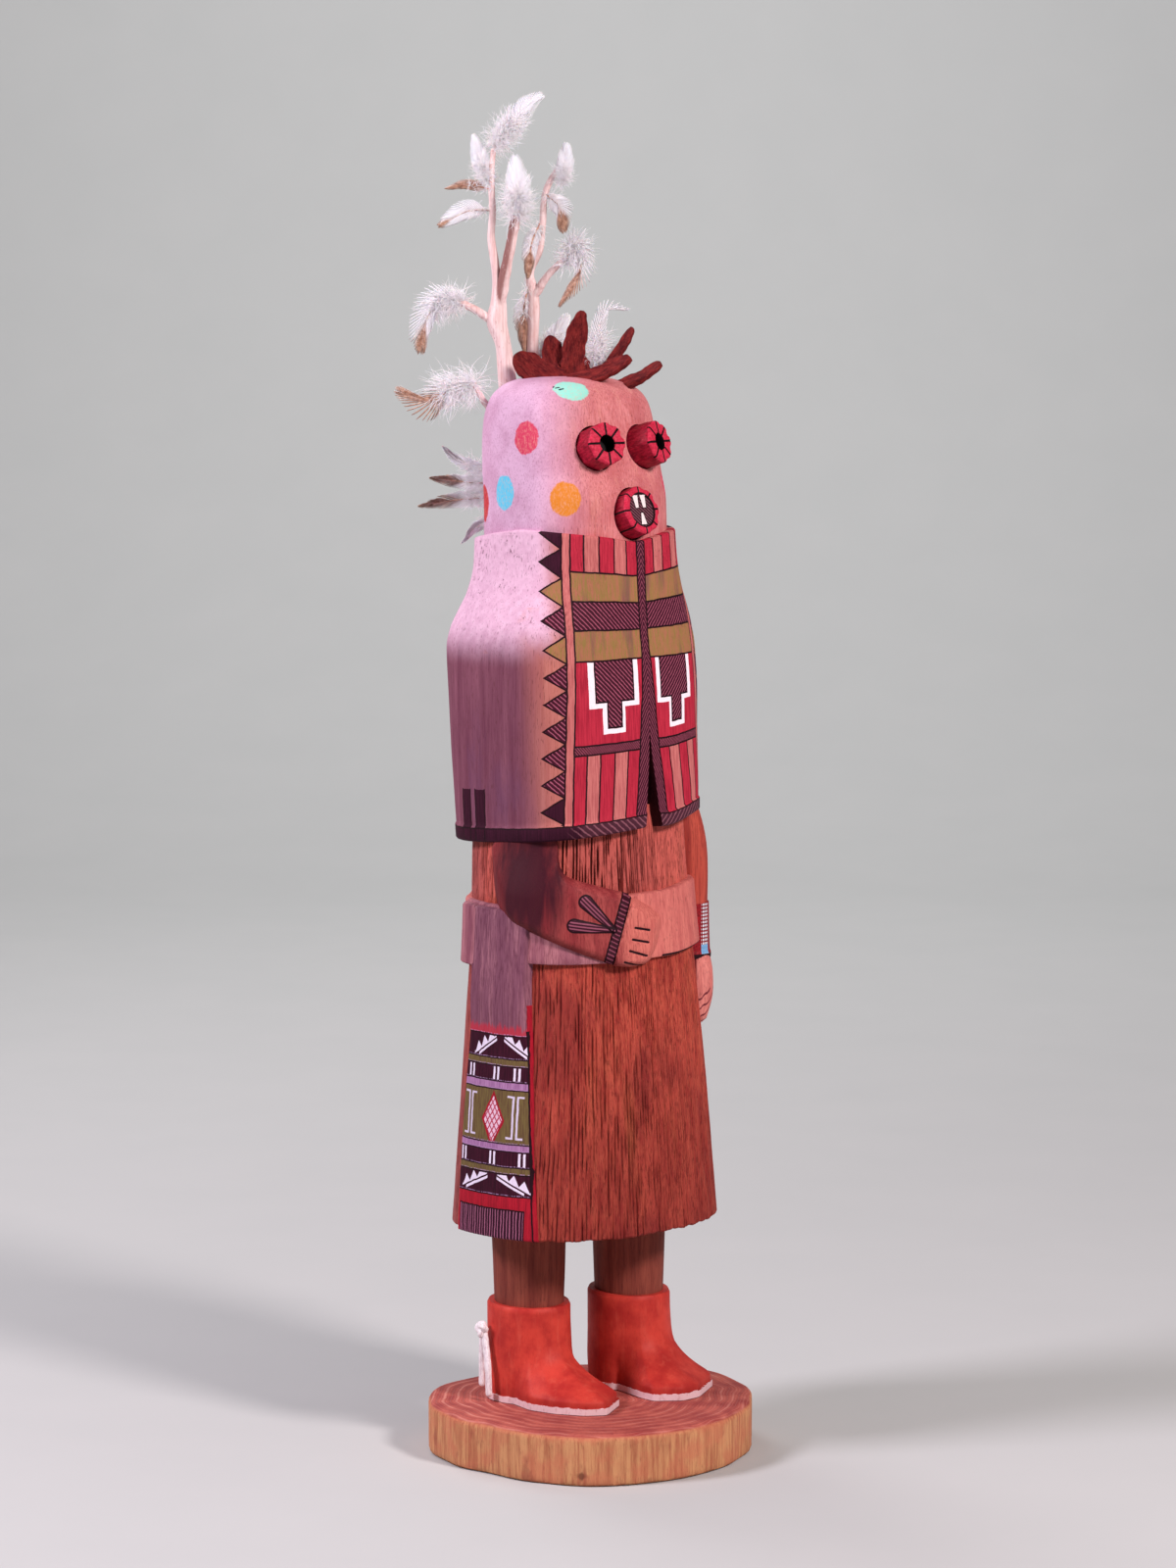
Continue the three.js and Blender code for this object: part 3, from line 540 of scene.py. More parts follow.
def arm_heights(points):
    """The bent arm's height over the robe, in the turned plane with heights from the cape's rim."""
    local = points - np.array([0, RIM])
    arm = edge_distance(local, ARM_SMOOTH)
    hand = edge_distance(local, HAND_SMOOTH)
    tucked = 1.5 + 2.5 * eased(-local[:, 1] / 17)
    height = np.minimum(quarter_round(arm, 3.9, 2.6), tucked)
    height = np.maximum(height, np.where(hand > 0, quarter_round(hand, 5.0, 2.2), -1))
    band = line_distance(local, WRIST_LOW, WRIST_HIGH)
    height = height + 0.55 * eased((1.25 - band) / 0.35) * (arm > 0.05)
    for end in BOW_ENDS:
        gap = line_distance(local, KNOT, end)
        width = 0.7 + 0.9 * np.clip(np.linalg.norm(local - KNOT, axis=1) / 9, 0, 1)
        height = height + 0.3 * eased((width - gap) / 0.4)
    for start, end in FINGERS:
        gap = line_distance(local, start, end)
        height = height - 0.5 * np.exp(-((gap / 0.38) ** 2))
    ridge = line_distance(local, [11, -15.6], [18.6, -24.6])
    height = height + 0.35 * np.exp(-((ridge / 2.2) ** 2)) * (arm > 0.8)
    return height


ARM_SMOOTH = rounded_outline(ARM_OUTLINE)
HAND_SMOOTH = rounded_outline(HAND_OUTLINE)
SIDE_TURN = math.radians(-90)
SASH_OUTLINE = [
    [-10.4, 138.9], [-10.2, 118], [-10.2, 105], [-11.2, 96], [-12.0, 80], [-12.5, 64], [-12.5, 48.7],
    [15.7, 48.6], [15.4, 54], [13.8, 67], [13, 83], [11.7, 99], [10.9, 107], [9.8, 120], [9.7, 138.6],
]
LAP_OUTLINE = [[-17.5, 121.9], [-17.5, 139.3], [-8.5, 139.0], [-8.5, 121.9]]
FRINGE_PITCH = 0.95


def sash_heights(points):
    distance = edge_distance(points, SASH_BORDER)
    thick = 1.0 + 0.6 * eased((12 - points[:, 0]) / 9) + 1.45 * eased((points[:, 1] - 98) / 20)
    height = quarter_round(distance, 1, 0.5, 0) * (thick + 0.8) - 0.8
    loose = points[:, 0] + 0.25 * field(points[:, 0] / 2, points[:, 1] / 3)
    fringe = np.abs((loose / FRINGE_PITCH) % 1 - 0.5) * 2
    below = eased((57.6 - points[:, 1]) / 0.5) * (points[:, 0] < 12)
    hem = 0.18 * field(points[:, 0] / 3, 4.4) * eased((points[:, 1] - 136) / 2)
    return height - 0.32 * below * fringe**2 - hem


def lap_heights(points):
    return quarter_round(edge_distance(points, LAP_BORDER), 3.1, 0.7, 0.2)


SASH_BORDER = resampled(np.array(SASH_OUTLINE, float), 1.0)
LAP_BORDER = rounded_outline(LAP_OUTLINE, 2, 0.06)


LEFT_ARM = (33.6, -8.2)


def left_arm_forms():
    """The hanging arm: sleeve, leather wrist guard and hand."""
    wrist = BELT_LOW - 1.2

    def limb(count, *rows):
        """Points down the arm from their offsets from its axis, their heights and their radii."""
        x, y = LEFT_ARM
        return spline([[x + across, y + along, z, radius] for across, along, z, radius in rows], count)

    upper = [(-3, 2, RIM + 6, 5.8), (-0.4, 0, RIM - 8, 5.8), (0, 0, wrist + 9, 5.6)]
    arm = limb(24, *upper, (0.6, -0.4, wrist, 5))
    guard = limb(14, (0.2, 0, wrist + 14.6, 5.95), (0.5, 0, wrist + 7, 5.9), (0.9, -0.4, wrist - 0.4, 5.6))
    cord = limb(4, (0.9, -0.4, wrist + 0.3, 5.85), (0.9, -0.4, wrist - 0.7, 5.85))
    fingers = [(1.0, -1.2, wrist - 6, 5.3), (0.7, -1.9, wrist - 12, 5.0), (0.2, -2.4, wrist - 16.9, 3.8)]
    hand = limb(40, (0.9, -0.4, wrist, 4.9), *fingers)

    def carved(k, angle):
        share = np.clip((k - 14) / 20, 0, 1)
        lines = np.abs(np.sin(angle * 3.5 + 0.6))
        return 1 - 0.11 * share * (1 - lines) ** 2

    return {
        "sleeve": lofted(swept(arm[:, :3], arm[:, 3], 40, rounded=False)[::-1]),
        "guard": lofted(swept(guard[:, :3], guard[:, 3], 40, rounded=False)[::-1]),
        "cord": lofted(swept(cord[:, :3], cord[:, 3], 40)[::-1]),
        "hand": lofted(swept(hand[:, :3], hand[:, 3], 56, 1.16, rounded=True, wobble=carved)[::-1]),
    }


RIGHT_LEG = np.array([-17.6, 4.7])
LEFT_LEG = np.array([13.5, -4.4])
RIGHT_SOLE = [[-10.7, -4.6], [-12.9, -12.3], [-11.6, -20.3], [-7.7, -28.2], [-2.9, -32.1], [8.8, -26.2],
              [9.6, -14], [10.6, -5]]
LEFT_SOLE = [[-9.8, -5], [-12.7, -16.6], [-13, -21.3], [-7, -26.8], [-0.7, -27.1], [12.8, -20.4],
             [13, -11], [11.2, -4]]
BOOT_HEIGHT = 27.0
BOOT_RADIUS = 11.6
LEG_RADIUS = 10.2
SOLE = 1.9


def boot_form(leg, sole):
    corners = np.array(sole, float)
    first = math.atan2(corners[-1, 1], corners[-1, 0])
    last = math.atan2(corners[0, 1], corners[0, 0]) + 2 * math.pi
    bearings = np.linspace(first, last, 26)[1:-1]
    heel = [[BOOT_RADIUS * math.cos(a), BOOT_RADIUS * math.sin(a)] for a in bearings]
    outline = resampled(rounded_outline(np.vstack([corners, heel]), 2, 0.08), 0.62)
    reach = np.hypot(outline[:, 0], outline[:, 1])
    way = outline / reach[:, None]
    heights = [0, SOLE, SOLE + 0.05, 2.5, 3.1, 3.5, 3.8, 4.1, 4.5, 5, 5.6, 6.3, 7, 7.8, 8.7, 9.7, 10.8]
    heights += [12.2, 14, 16.3, 19, 22, 25.6, 26.2, 26.8, 27.1]
    knots = [0, SOLE, 3.4, 4.2, 5.8, 7.6, 9.8, 13, 17.5, BOOT_HEIGHT + 1]
    shares = [1, 1, 0.985, 0.92, 0.7, 0.48, 0.28, 0.1, 0.03, 0]
    rings = []
    for z in heights:
        share = float(smooth(knots, shares, np.array([z]))[0])
        grow = 0.25 if z <= SOLE else -0.35 * (1 - min(1, z / 9))
        if z > 26.3:
            grow -= 0.5 * (z - 26.2)
        tilt = 0.5 * eased((z - 18) / 8) * way[:, 1]
        radius = BOOT_RADIUS + (reach - BOOT_RADIUS) * share + grow
        uneven = 0.25 * (field(np.arctan2(way[:, 1], way[:, 0]) * 2.5 + 20, z / 8) - 0.5) * (z > SOLE)
        flat = leg + way * (radius + uneven)[:, None]
        rings.append(np.column_stack([flat, z + tilt]))
    return lofted(np.array(rings))


def leg_form(leg):
    path = np.array([[leg[0], leg[1], z] for z in np.linspace(BOOT_HEIGHT - 5, HEM + 6, 12)])
    radii = np.linspace(LEG_RADIUS - 0.7, LEG_RADIUS + 0.3, 12)

    def wobble(k, angle):
        return 1 + 0.02 * (field(angle * 2 + leg[0], k / 5) - 0.5)

    return lofted(swept(path, radii, 72, rounded=False, wobble=wobble))


# Materials


def hue(red, green, blue):
    """An sRGB colour from 0 to 255 as the linear one that a shader takes."""
    return tuple(
        ((c / 255 + 0.055) / 1.055) ** 2.4 if c > 10 else c / 255 / 12.92 for c in (red, green, blue)
    ) + (1.0,)


class Value:
    """A number in a material's node tree."""

    def __init__(self, look, socket):
        self.look = look
        self.socket = socket

    def __add__(self, other):
        return self.look.calc("ADD", self, other)

    def __sub__(self, other):
        return self.look.calc("SUBTRACT", self, other)

    def __rsub__(self, other):
        return self.look.calc("SUBTRACT", other, self)

    def __mul__(self, other):
        return self.look.calc("MULTIPLY", self, other)

    def __truediv__(self, other):
        return self.look.calc("DIVIDE", self, other)

    def __gt__(self, other):
        return self.look.calc("GREATER_THAN", self, other)

    def __lt__(self, other):
        return self.look.calc("LESS_THAN", self, other)

    def __pow__(self, other):
        return self.look.calc("POWER", self, other)

    def __abs__(self):
        return self.look.calc("ABSOLUTE", self)

    __radd__ = __add__
    __rmul__ = __mul__

    def part(self):
        return self.look.calc("FRACT", self)

    def floor(self):
        return self.look.calc("FLOOR", self)

    def least(self, other):
        return self.look.calc("MINIMUM", self, other)

    def most(self, other):
        return self.look.calc("MAXIMUM", self, other)

    def between(self, low, high):
        return (self > low) * (self < high)

    def ramp(self, low, high):
        """0 at low, 1 at high, smooth in between."""
        return self.look.ramp(self, low, high)


class Look:
    """One procedural material, worked out in the doll's millimetres."""

    def __init__(self, name, roughness=0.7):
        self.material = bpy.data.materials.new(name)
        self.material.use_nodes = True
        self.tree = self.material.node_tree
        self.shader = next(n for n in self.tree.nodes if n.type == "BSDF_PRINCIPLED")
        self.shader.inputs["Roughness"].default_value = roughness
        self.shader.inputs["Specular IOR Level"].default_value = 0.12
        coordinates = self.tree.nodes.new("ShaderNodeTexCoord")
        metres = coordinates.outputs["Object"]
        self.place = self.vector("MULTIPLY_ADD", metres, (1 / MM, 1 / MM, 1 / MM), tuple(-PLACE))
        self.x, self.y, self.z = self.split(self.place)

    def put(self, socket, value):
        if isinstance(value, Value):
            self.tree.links.new(value.socket, socket)
        elif isinstance(value, bpy.types.NodeSocket):
            self.tree.links.new(value, socket)
        else:
            socket.default_value = value

    def calc(self, operation, *inputs):
        node = self.tree.nodes.new("ShaderNodeMath")
        node.operation = operation
        for socket, value in zip(node.inputs, inputs):
            self.put(socket, value)
        return Value(self, node.outputs[0])

    def vector(self, operation, *inputs):
        node = self.tree.nodes.new("ShaderNodeVectorMath")
        node.operation = operation
        for socket, value in zip(node.inputs, inputs):
            self.put(socket, value)
        return node.outputs[0]

    def split(self, vector):
        node = self.tree.nodes.new("ShaderNodeSeparateXYZ")
        self.put(node.inputs[0], vector)
        return [Value(self, output) for output in node.outputs]

    def ramp(self, value, low, high):
        node = self.tree.nodes.new("ShaderNodeMapRange")
        node.interpolation_type = "SMOOTHSTEP"
        self.put(node.inputs["Value"], value)
        self.put(node.inputs["From Min"], low)
        self.put(node.inputs["From Max"], high)
        return Value(self, node.outputs["Result"])

    def noise(self, stretch, detail=3.0, rough=0.55, vector=None, shift=0.0):
        """Smooth noise from about 0 to 1; stretch is its changes per millimetre along each axis."""
        node = self.tree.nodes.new("ShaderNodeTexNoise")
        source = self.place if vector is None else vector
        scaled = self.vector("MULTIPLY_ADD", source, stretch, (shift, shift * 0.7, shift * 1.3))
        self.put(node.inputs["Vector"], scaled)
        node.inputs["Scale"].default_value = 1.0
        node.inputs["Detail"].default_value = detail
        node.inputs["Roughness"].default_value = rough
        return Value(self, node.outputs["Fac"])

    def mix(self, share, first, second):
        node = self.tree.nodes.new("ShaderNodeMix")
        node.data_type = "RGBA"
        node.clamp_factor = True
        self.put(node.inputs[0], share)
        self.put(node.inputs[6], first)
        self.put(node.inputs[7], second)
        return Value(self, node.outputs[2])

    def value(self, name):
        node = self.tree.nodes.new("ShaderNodeAttribute")
        node.attribute_name = name
        return Value(self, node.outputs["Fac"])

    def local(self, name):
        node = self.tree.nodes.new("ShaderNodeAttribute")
        node.attribute_name = name
        return node.outputs["Vector"]

    def colour(self, value):
        self.put(self.shader.inputs["Base Color"], value)

    def rough(self, value):
        self.put(self.shader.inputs["Roughness"], value)

    def bump(self, height, distance, strength=1.0):
        """Relief in millimetres from a height of 0 to 1."""
        node = self.tree.nodes.new("ShaderNodeBump")
        node.inputs["Strength"].default_value = strength
        node.inputs["Distance"].default_value = distance * MM
        self.put(node.inputs["Height"], height)
        self.tree.links.new(node.outputs[0], self.shader.inputs["Normal"])

    def fibres(self, shift=0.0):
        """Upright wood grain: wide streaks, fine fibres and short dark pores, each from 0 to 1."""
        wide = self.noise((0.32, 0.32, 0.018), 4, 0.6, shift=shift)
        fine = self.noise((2.6, 2.6, 0.09), 3, 0.6, shift=shift + 5)
        pores = self.noise((3.6, 3.6, 0.5), 2, 0.5, shift=shift + 9).ramp(0.6, 0.72)
        return wide, fine, pores

    def across(self):
        """How far to the right a point lies, seen from the camera."""
        return self.x * RIGHT[0] + self.y * RIGHT[1]

    def length(self, *parts):
        total = parts[0] * parts[0]
        for part in parts[1:]:
            total = total + part * part
        return self.calc("SQRT", total)

    def hatch(self, across, height, slope, pitch=1.0, wobble=0.2):
        """Burned parallel strokes: 1 on the dark strokes, 0 on the light lines between."""
        loose = self.noise((0.5, 0.5, 0.5), 2) * wobble * 2
        phase = (across * slope + height) * (1 / (pitch * math.sqrt(1 + slope * slope))) + loose
        gap = abs(phase.part() - 0.5)
        light = self.noise((1.4, 1.4, 1.4), 2, shift=3)
        return (gap + light * 0.22).ramp(0.2, 0.3)


BURN = hue(34, 8, 18)
BURN_SOFT = hue(76, 24, 40)
EDGE = hue(24, 8, 12)

# Levels of the cape's pattern: the foot of the top stripes and of each band under them, the top of the rim's
# band, the foot of the first tooth, and the feet of the stepped block's two parts
TOP_STRIPES = 229.4
OLIVE_BAND = 221.9
HATCHED_BAND = 214.5
SECOND_OLIVE = 206.4
RED_FIELD = 183.2
THIN_BAND = 180.6
RIM_BAND = 161.6
FIRST_TOOTH = 162.3
STEP = 194.9
STEP_FOOT = 187.6


def cape_look():
    look = Look("cape_wood", 0.62)
    jitter = (look.noise((0.3, 0.3, 0.3), 2) - 0.5) * 0.45
    seam = look.value("seam")
    z = look.value("level") + jitter
    right = seam > 0
    t = abs(seam) * (right + (1 - right) * (1 / 0.9)) + jitter
    t = t.most(look.ramp(look.y, 27, 28) * 60)
    wide, fine, pores = look.fibres()
    inner = 1.6 + ((210 - z).most(0) * (1 / 48)) ** 1.3 * 5.0
    outer = 23.5 + (241 - z) * 0.052
    stripe_end = outer + 2.4

    bare = look.mix(wide.ramp(0.3, 0.7), hue(192, 120, 110), hue(166, 92, 88))
    bare = look.mix(fine.ramp(0.35, 0.75) * 0.5, bare, hue(164, 92, 76))
    pale = look.mix(look.noise((0.5, 0.5, 0.5), 4).ramp(0.3, 0.7), hue(228, 186, 208), hue(214, 168, 192))
    # Above the shoulder the cape turns pale: partly the paler wood of its top, partly a painted highlight
    # where the shoulder's top faces the lamps.
    high = (z + (wide - 0.5) * 2.5).ramp(204, 216)
    stained = look.mix(wide.ramp(0.3, 0.7) * 0.7, hue(112, 60, 78), hue(146, 90, 106))
    stained = look.mix(fine.ramp(0.4, 0.7) * 0.5, stained, hue(92, 44, 62))
    # Painted shade: a darker band on the cape's side beyond the teeth, where the surface turns between the
    # lit front and the lit side.
    stained = look.mix(t.between(24, 44) * look.ramp(t, 44, 34) * 0.5, stained, hue(88, 40, 56))
    violet = look.noise((0.1, 0.1, 0.03), 4, shift=21).ramp(0.52, 0.7)
    stained = look.mix(violet * 0.4, stained, hue(104, 66, 96))
    back = look.mix(high, stained, pale)
    away = t.ramp(31, 44)
    ground = look.mix(away.most(high * t.ramp(26, 34)), bare, back)
    ochre = look.noise((0.1, 0.1, 0.1), 4, shift=33).ramp(0.6, 0.75) * z.between(208, 220)
    ground = look.mix(ochre * 0.45, ground, hue(206, 112, 70))
    patches = look.noise((0.09, 0.09, 0.09), 2, shift=51).ramp(0.52, 0.64)
    pits = look.noise((1.1, 1.1, 0.8), 3, 0.7, shift=14).ramp(0.6, 0.68) * high * patches
    ground = look.mix(pits, ground, hue(92, 50, 58))
    ground = look.mix(pores * 0.55, ground, hue(96, 48, 48))

    red = look.mix(fine.ramp(0.3, 0.75), hue(190, 44, 66), hue(150, 26, 48))
    plain = look.mix(fine.ramp(0.3, 0.75), hue(202, 118, 114), hue(170, 84, 86))
    olive = look.mix(fine.ramp(0.36, 0.66), hue(142, 114, 64), hue(168, 104, 82))
    faded = look.noise((0.2, 0.2, 0.03), 3, shift=8).ramp(0.48, 0.68)
    olive = look.mix(faded * 0.6, olive, hue(98, 64, 74))
    white = look.mix(fine.ramp(0.5, 0.8) * 0.4, hue(252, 236, 244), hue(224, 184, 196))
    light_line = hue(164, 84, 106)
    strokes = look.hatch(t, z, -0.95)
    hatched = look.mix(strokes, light_line, hue(62, 16, 34))
    steep = look.hatch(t, z, 1.7, 0.8)
    band = look.mix(steep, hue(142, 70, 88), hue(64, 18, 36))
    solid = look.mix(fine.ramp(0.3, 0.8), hue(44, 8, 26), hue(66, 20, 42))

    # stripes at the top and at the foot of each panel
    inside = (t > inner) * (t < outer)
    spread = (t - inner) / (outer - inner)
    top_red = spread.between(-0.1, 0.185) + spread.between(0.39, 0.62) + spread.between(0.83, 1.1)
    low_red = spread.between(-0.1, 0.2) + spread.between(0.42, 0.64) + spread.between(0.83, 1.1)
    top_field = z > TOP_STRIPES
    low_field = z.between(RIM_BAND, THIN_BAND)
    middle_band = z.between(HATCHED_BAND, OLIVE_BAND)
    painted = look.mix(top_field * top_red + low_field * low_red, plain, red)
    olive_bands = z.between(OLIVE_BAND, TOP_STRIPES) + z.between(SECOND_OLIVE, HATCHED_BAND)
    painted = look.mix(olive_bands, painted, olive)
    painted = look.mix(middle_band, painted, hatched)
    crossing = look.mix(look.hatch(t, z, -1.2, 0.6), hue(160, 80, 100), BURN_SOFT)
    painted = look.mix(z.between(THIN_BAND, RED_FIELD), painted, crossing)

    # the red field with its stepped block
    middle = z.between(RED_FIELD, SECOND_OLIVE)
    white_wide = t.between(3.9, 21.8) * (z > 193.3)
    white_foot = t.between(9.5, 17.5) * (z > 186.0)
    block_wide = t.between(5.9, 19.6) * (z > STEP)
    block_foot = t.between(10.7, 15.7) * (z > STEP_FOOT)
    figure = look.mix(white_wide.most(white_foot), red, white)
    block = block_wide.most(block_foot)
    figure = look.mix(block, figure, hatched)
    painted = look.mix(middle, painted, figure)

    colour = look.mix(inside, ground, painted)
    colour = look.mix((t < inner) * (z > 160), colour, band)
    colour = look.mix(t.between(outer, stripe_end), colour, plain)

    # the toothed edge
    tooth = (z - FIRST_TOOTH) * (1 / 7.27)
    bite = 1 - abs(tooth.part() * 2 - 1)
    reach = stripe_end + bite * 6.3
    in_tooth = (t > stripe_end) * (t < reach) * (z > FIRST_TOOTH)
    number = tooth.floor()
    olive_tooth = number.between(5.5, 6.5) + number.between(7.5, 8.5)
    solid_tooth = (number < 0.5) + (number > 8.5)
    toothed = look.mix(olive_tooth, hatched, olive)
    toothed = look.mix(solid_tooth, toothed, solid)
    colour = look.mix(in_tooth, colour, toothed)

    # the rim's band and the two bars at the back
    slanted = look.mix(look.hatch(t, z, -0.9, 1.5) * 0.85 + t.ramp(24, 30), hue(132, 80, 92), solid)
    colour = look.mix(z < RIM_BAND, colour, slanted)
    bars = (t.between(62, 65.9) + t.between(55.9, 59.8)) * (z < 171.9)
    colour = look.mix(bars, colour, solid)

    # burned outlines
    def near(value, width=0.24):
        return abs(value) < width

    lines = near(t - outer) + near(t - stripe_end) + near(t - inner, 0.28)
    span = outer - inner
    for share in (0.185, 0.39, 0.62, 0.83):
        lines = lines + near((spread - share) * span) * top_field
    for share in (0.2, 0.42, 0.64, 0.83):
        lines = lines + near((spread - share) * span) * low_field
    for height in (TOP_STRIPES, OLIVE_BAND, HATCHED_BAND, SECOND_OLIVE, RED_FIELD, THIN_BAND):
        lines = lines + near(z - height) * inside
    edge_wide = near(t - 5.9).most(near(t - 19.6)) * z.between(STEP - 0.2, SECOND_OLIVE)
    edge_foot = near(t - 10.7).most(near(t - 15.7)) * z.between(STEP_FOOT - 0.2, STEP)
    edge_flat = near(z - STEP) * (t.between(5.8, 10.9) + t.between(15.5, 19.7))
    edge_flat = edge_flat + near(z - STEP_FOOT) * t.between(10.5, 15.9)
    lines = lines + (edge_wide + edge_foot + edge_flat) * inside
    lines = lines * (z > RIM_BAND)
    teeth = near(t - reach, 0.46) * (t > stripe_end) * (z > 162.0)
    lines = lines + teeth + near(z - RIM_BAND, 0.2)
    bar_edge = near(abs(t - 63.95) - 1.95, 0.2) + near(abs(t - 57.85) - 1.95, 0.2)
    lines = lines + bar_edge * (z < 172.1)
    lines = lines.least(1)
    look.colour(look.mix(lines, colour, BURN))
    scored = inside * (block * middle + middle_band)
    carved = 1 - lines * 0.9 - strokes * 0.25 * scored - pits * 0.8
    carved = carved - fine * 0.12 - pores * 0.15
    look.bump(carved, 0.32, 0.9)
    look.rough(0.66 - lines * 0.12 + fine * 0.1)
    return look.material


def head_look():
    look = Look("head_wood", 0.6)
    wide, fine, pores = look.fibres(2.0)
    speck = look.noise((2.4, 2.4, 1.5), 4, 0.7, shift=4)
    mottle = look.noise((0.11, 0.11, 0.09), 4, 0.6, shift=12)
    pale = look.mix(mottle.ramp(0.35, 0.65), hue(216, 174, 202), hue(200, 154, 182))
    warm = look.mix(mottle.ramp(0.35, 0.65), hue(216, 134, 136), hue(194, 108, 112))
    warm = look.mix(fine.ramp(0.4, 0.68) * 0.6, warm, hue(176, 84, 76))
    warm = look.mix(wide.ramp(0.5, 0.75) * 0.4, warm, hue(232, 164, 150))
    # Painted light: the side towards the camera's left is painted pale lilac, a painted highlight from the
    # side lamp, blending into the warm wood colour at the front.
    front = look.ramp(look.across() + 3 + (wide - 0.5) * 4, -12, 7)
    colour = look.mix(front, pale, warm)
    colour = look.mix(speck.ramp(0.5, 0.68) * (0.5 - front * 0.3), colour, hue(150, 96, 116))
    colour = look.mix(speck.ramp(0.4, 0.26) * 0.4, colour, hue(246, 206, 206))
    colour = look.mix(pores * (0.2 + front * 0.5), colour, hue(120, 52, 56))
    loose = (look.noise((0.45, 0.45, 0.45), 3, shift=30) - 0.5) * 1.5
    grainy = (look.noise((3.2, 3.2, 3.2), 2, shift=6) - 0.5) * 0.55
    spots = [
        ((-23.8, -0.4, 266.4), (4.3, 4.2, 4.6), hue(206, 58, 92)),
        ((-23.9, 7.5, 251.3), (4.2, 4.0, 4.8), hue(96, 196, 226)),
        ((-20.2, -11.8, 250.1), (4.4, 4.4, 4.7), hue(214, 128, 40)),
        ((-12.3, -6.9, 279.5), (5.2, 5.2, 3.4), hue(146, 222, 206)),
        ((-19, 19, 248), (4.2, 4.2, 5.2), hue(186, 34, 50)),
        ((22, 12, 262), (4.4, 4.4, 4.6), hue(96, 196, 226)),
        ((20, -10.6, 252), (4.4, 4.4, 4.6), hue(206, 58, 92)),
        ((4, 27.6, 262), (4.6, 4.6, 4.8), hue(214, 128, 40)),
    ]
    painted = look.calc("ADD", 0, 0)
    for centre, size, tint in spots:
        offset = [(axis - c) * (1 / s) for axis, c, s in zip((look.x, look.y, look.z), centre, size)]
        reach = look.length(*offset)
        mask = 1 - (reach + loose * 0.2 + grainy * 0.3).ramp(0.93, 1.03)
        rubbed = look.noise((2.2, 2.2, 1.2), 3, shift=15).ramp(0.42, 0.75)
        tone = look.mix(rubbed * 0.45, tint, hue(224, 170, 150))
        colour = look.mix(mask, colour, tone)
        painted = painted.most(mask)
    marks = [((-15.4, -5.0), (-14.2, -5.4)), ((-15.6, -3.9), (-14.8, -4.3)), ((-15.9, -3.2), (-15.5, -3.0))]
    for start, end in marks:
        mark = segment(look, look.x, look.y, start, end) + (speck - 0.5) * 0.4
        colour = look.mix((mark < 0.22) * (look.z > 270), colour, hue(36, 40, 48))
    look.colour(colour)
    look.bump(fine * 0.5 + speck * 0.5 - pores * 0.4 + painted * 0.25, 0.14, 0.8)
    look.rough(0.5 + speck * 0.25)
    return look.material


def robe_look():
    look = Look("robe_wood", 0.55)
    wide, fine, pores = look.fibres(6.0)
    carve = look.value("carve")
    broad = look.noise((0.05, 0.05, 0.03), 3, 0.6, shift=3)
    dashes = look.noise((3.0, 3.0, 0.32), 3, 0.6, shift=44)
    colour = look.mix(wide.ramp(0.35, 0.65), hue(182, 72, 60), hue(146, 44, 40))
    colour = look.mix(fine.ramp(0.35, 0.7) * 0.45, colour, hue(206, 104, 78))
    colour = look.mix(broad.ramp(0.46, 0.66) * 0.6, colour, hue(116, 34, 36))
    colour = look.mix(look.ramp(look.z, 108, 60) * 0.4, colour, hue(112, 34, 32))
    colour = look.mix(look.z.ramp(BELT_HIGH - 2, BELT_HIGH + 3) * 0.5, colour, hue(216, 112, 104))
    colour = look.mix(dashes.ramp(0.56, 0.64) * 0.5, colour, hue(96, 26, 26))
    # Painted shade in the gouge marks: the deeper the cut, the darker its colour, darkest in the deep cuts
    # above the belt.
    colour = look.mix(carve.ramp(0.14, 0.5) * 0.72, colour, hue(84, 20, 22))
    above = look.z.ramp(BELT_HIGH, BELT_HIGH + 5)
    colour = look.mix(above * carve.ramp(0.3, 0.7) * 0.6, colour, hue(54, 10, 18))
    colour = look.mix(pores * 0.4, colour, hue(84, 24, 24))
    back = look.ramp(look.y, 6, 20)
    colour = look.mix(back * 0.7, colour, hue(148, 84, 84))
    gold = look.noise((0.09, 0.09, 0.015), 3, shift=17).ramp(0.55, 0.75)
    look.colour(look.mix(gold * 0.35, colour, hue(150, 92, 52)))
    look.bump(fine * 0.6 - pores * 0.4 - dashes.ramp(0.54, 0.66) * 0.6, 0.2, 0.9)
    look.rough(0.46 + fine * 0.25)
    return look.material


def plain_wood(name, light, dark, streak, shift, tint=None):
    look = Look(name, 0.62)
    wide, fine, pores = look.fibres(shift)
    colour = look.mix(wide.ramp(0.32, 0.68), light, dark)
    colour = look.mix(fine.ramp(0.42, 0.72) * 0.55, colour, streak)
    colour = look.mix(pores * 0.5, colour, hue(84, 40, 36))
    if tint is not None:
        colour = tint(look, colour, wide, fine)
    look.colour(colour)
    look.bump(fine * 0.6 - pores * 0.5, 0.12, 0.7)
    look.rough(0.55 + fine * 0.2)
    return look.material


def belt_look():
    def shaded(look, colour, wide, fine):
        side = look.ramp(look.x * -1 - look.y * 0.4, 16, 26)
        grey = look.mix(wide.ramp(0.35, 0.7), hue(172, 116, 128), hue(122, 72, 92))
        grey = look.mix(fine.ramp(0.4, 0.68) * 0.6, grey, hue(92, 44, 62))
        colour = look.mix(side * 0.85, colour, grey)
        low = BELT_LOW + 3.1 + look.ramp(look.x, 8, 26) * 1.0
        burned = (abs(look.z - low) < 0.3) * look.x.between(3, 27) * (look.y < 0)
        return look.mix(burned, colour, BURN)

    return plain_wood("belt_wood", hue(214, 122, 112), hue(188, 96, 92), hue(160, 72, 72), 11.0, shaded)


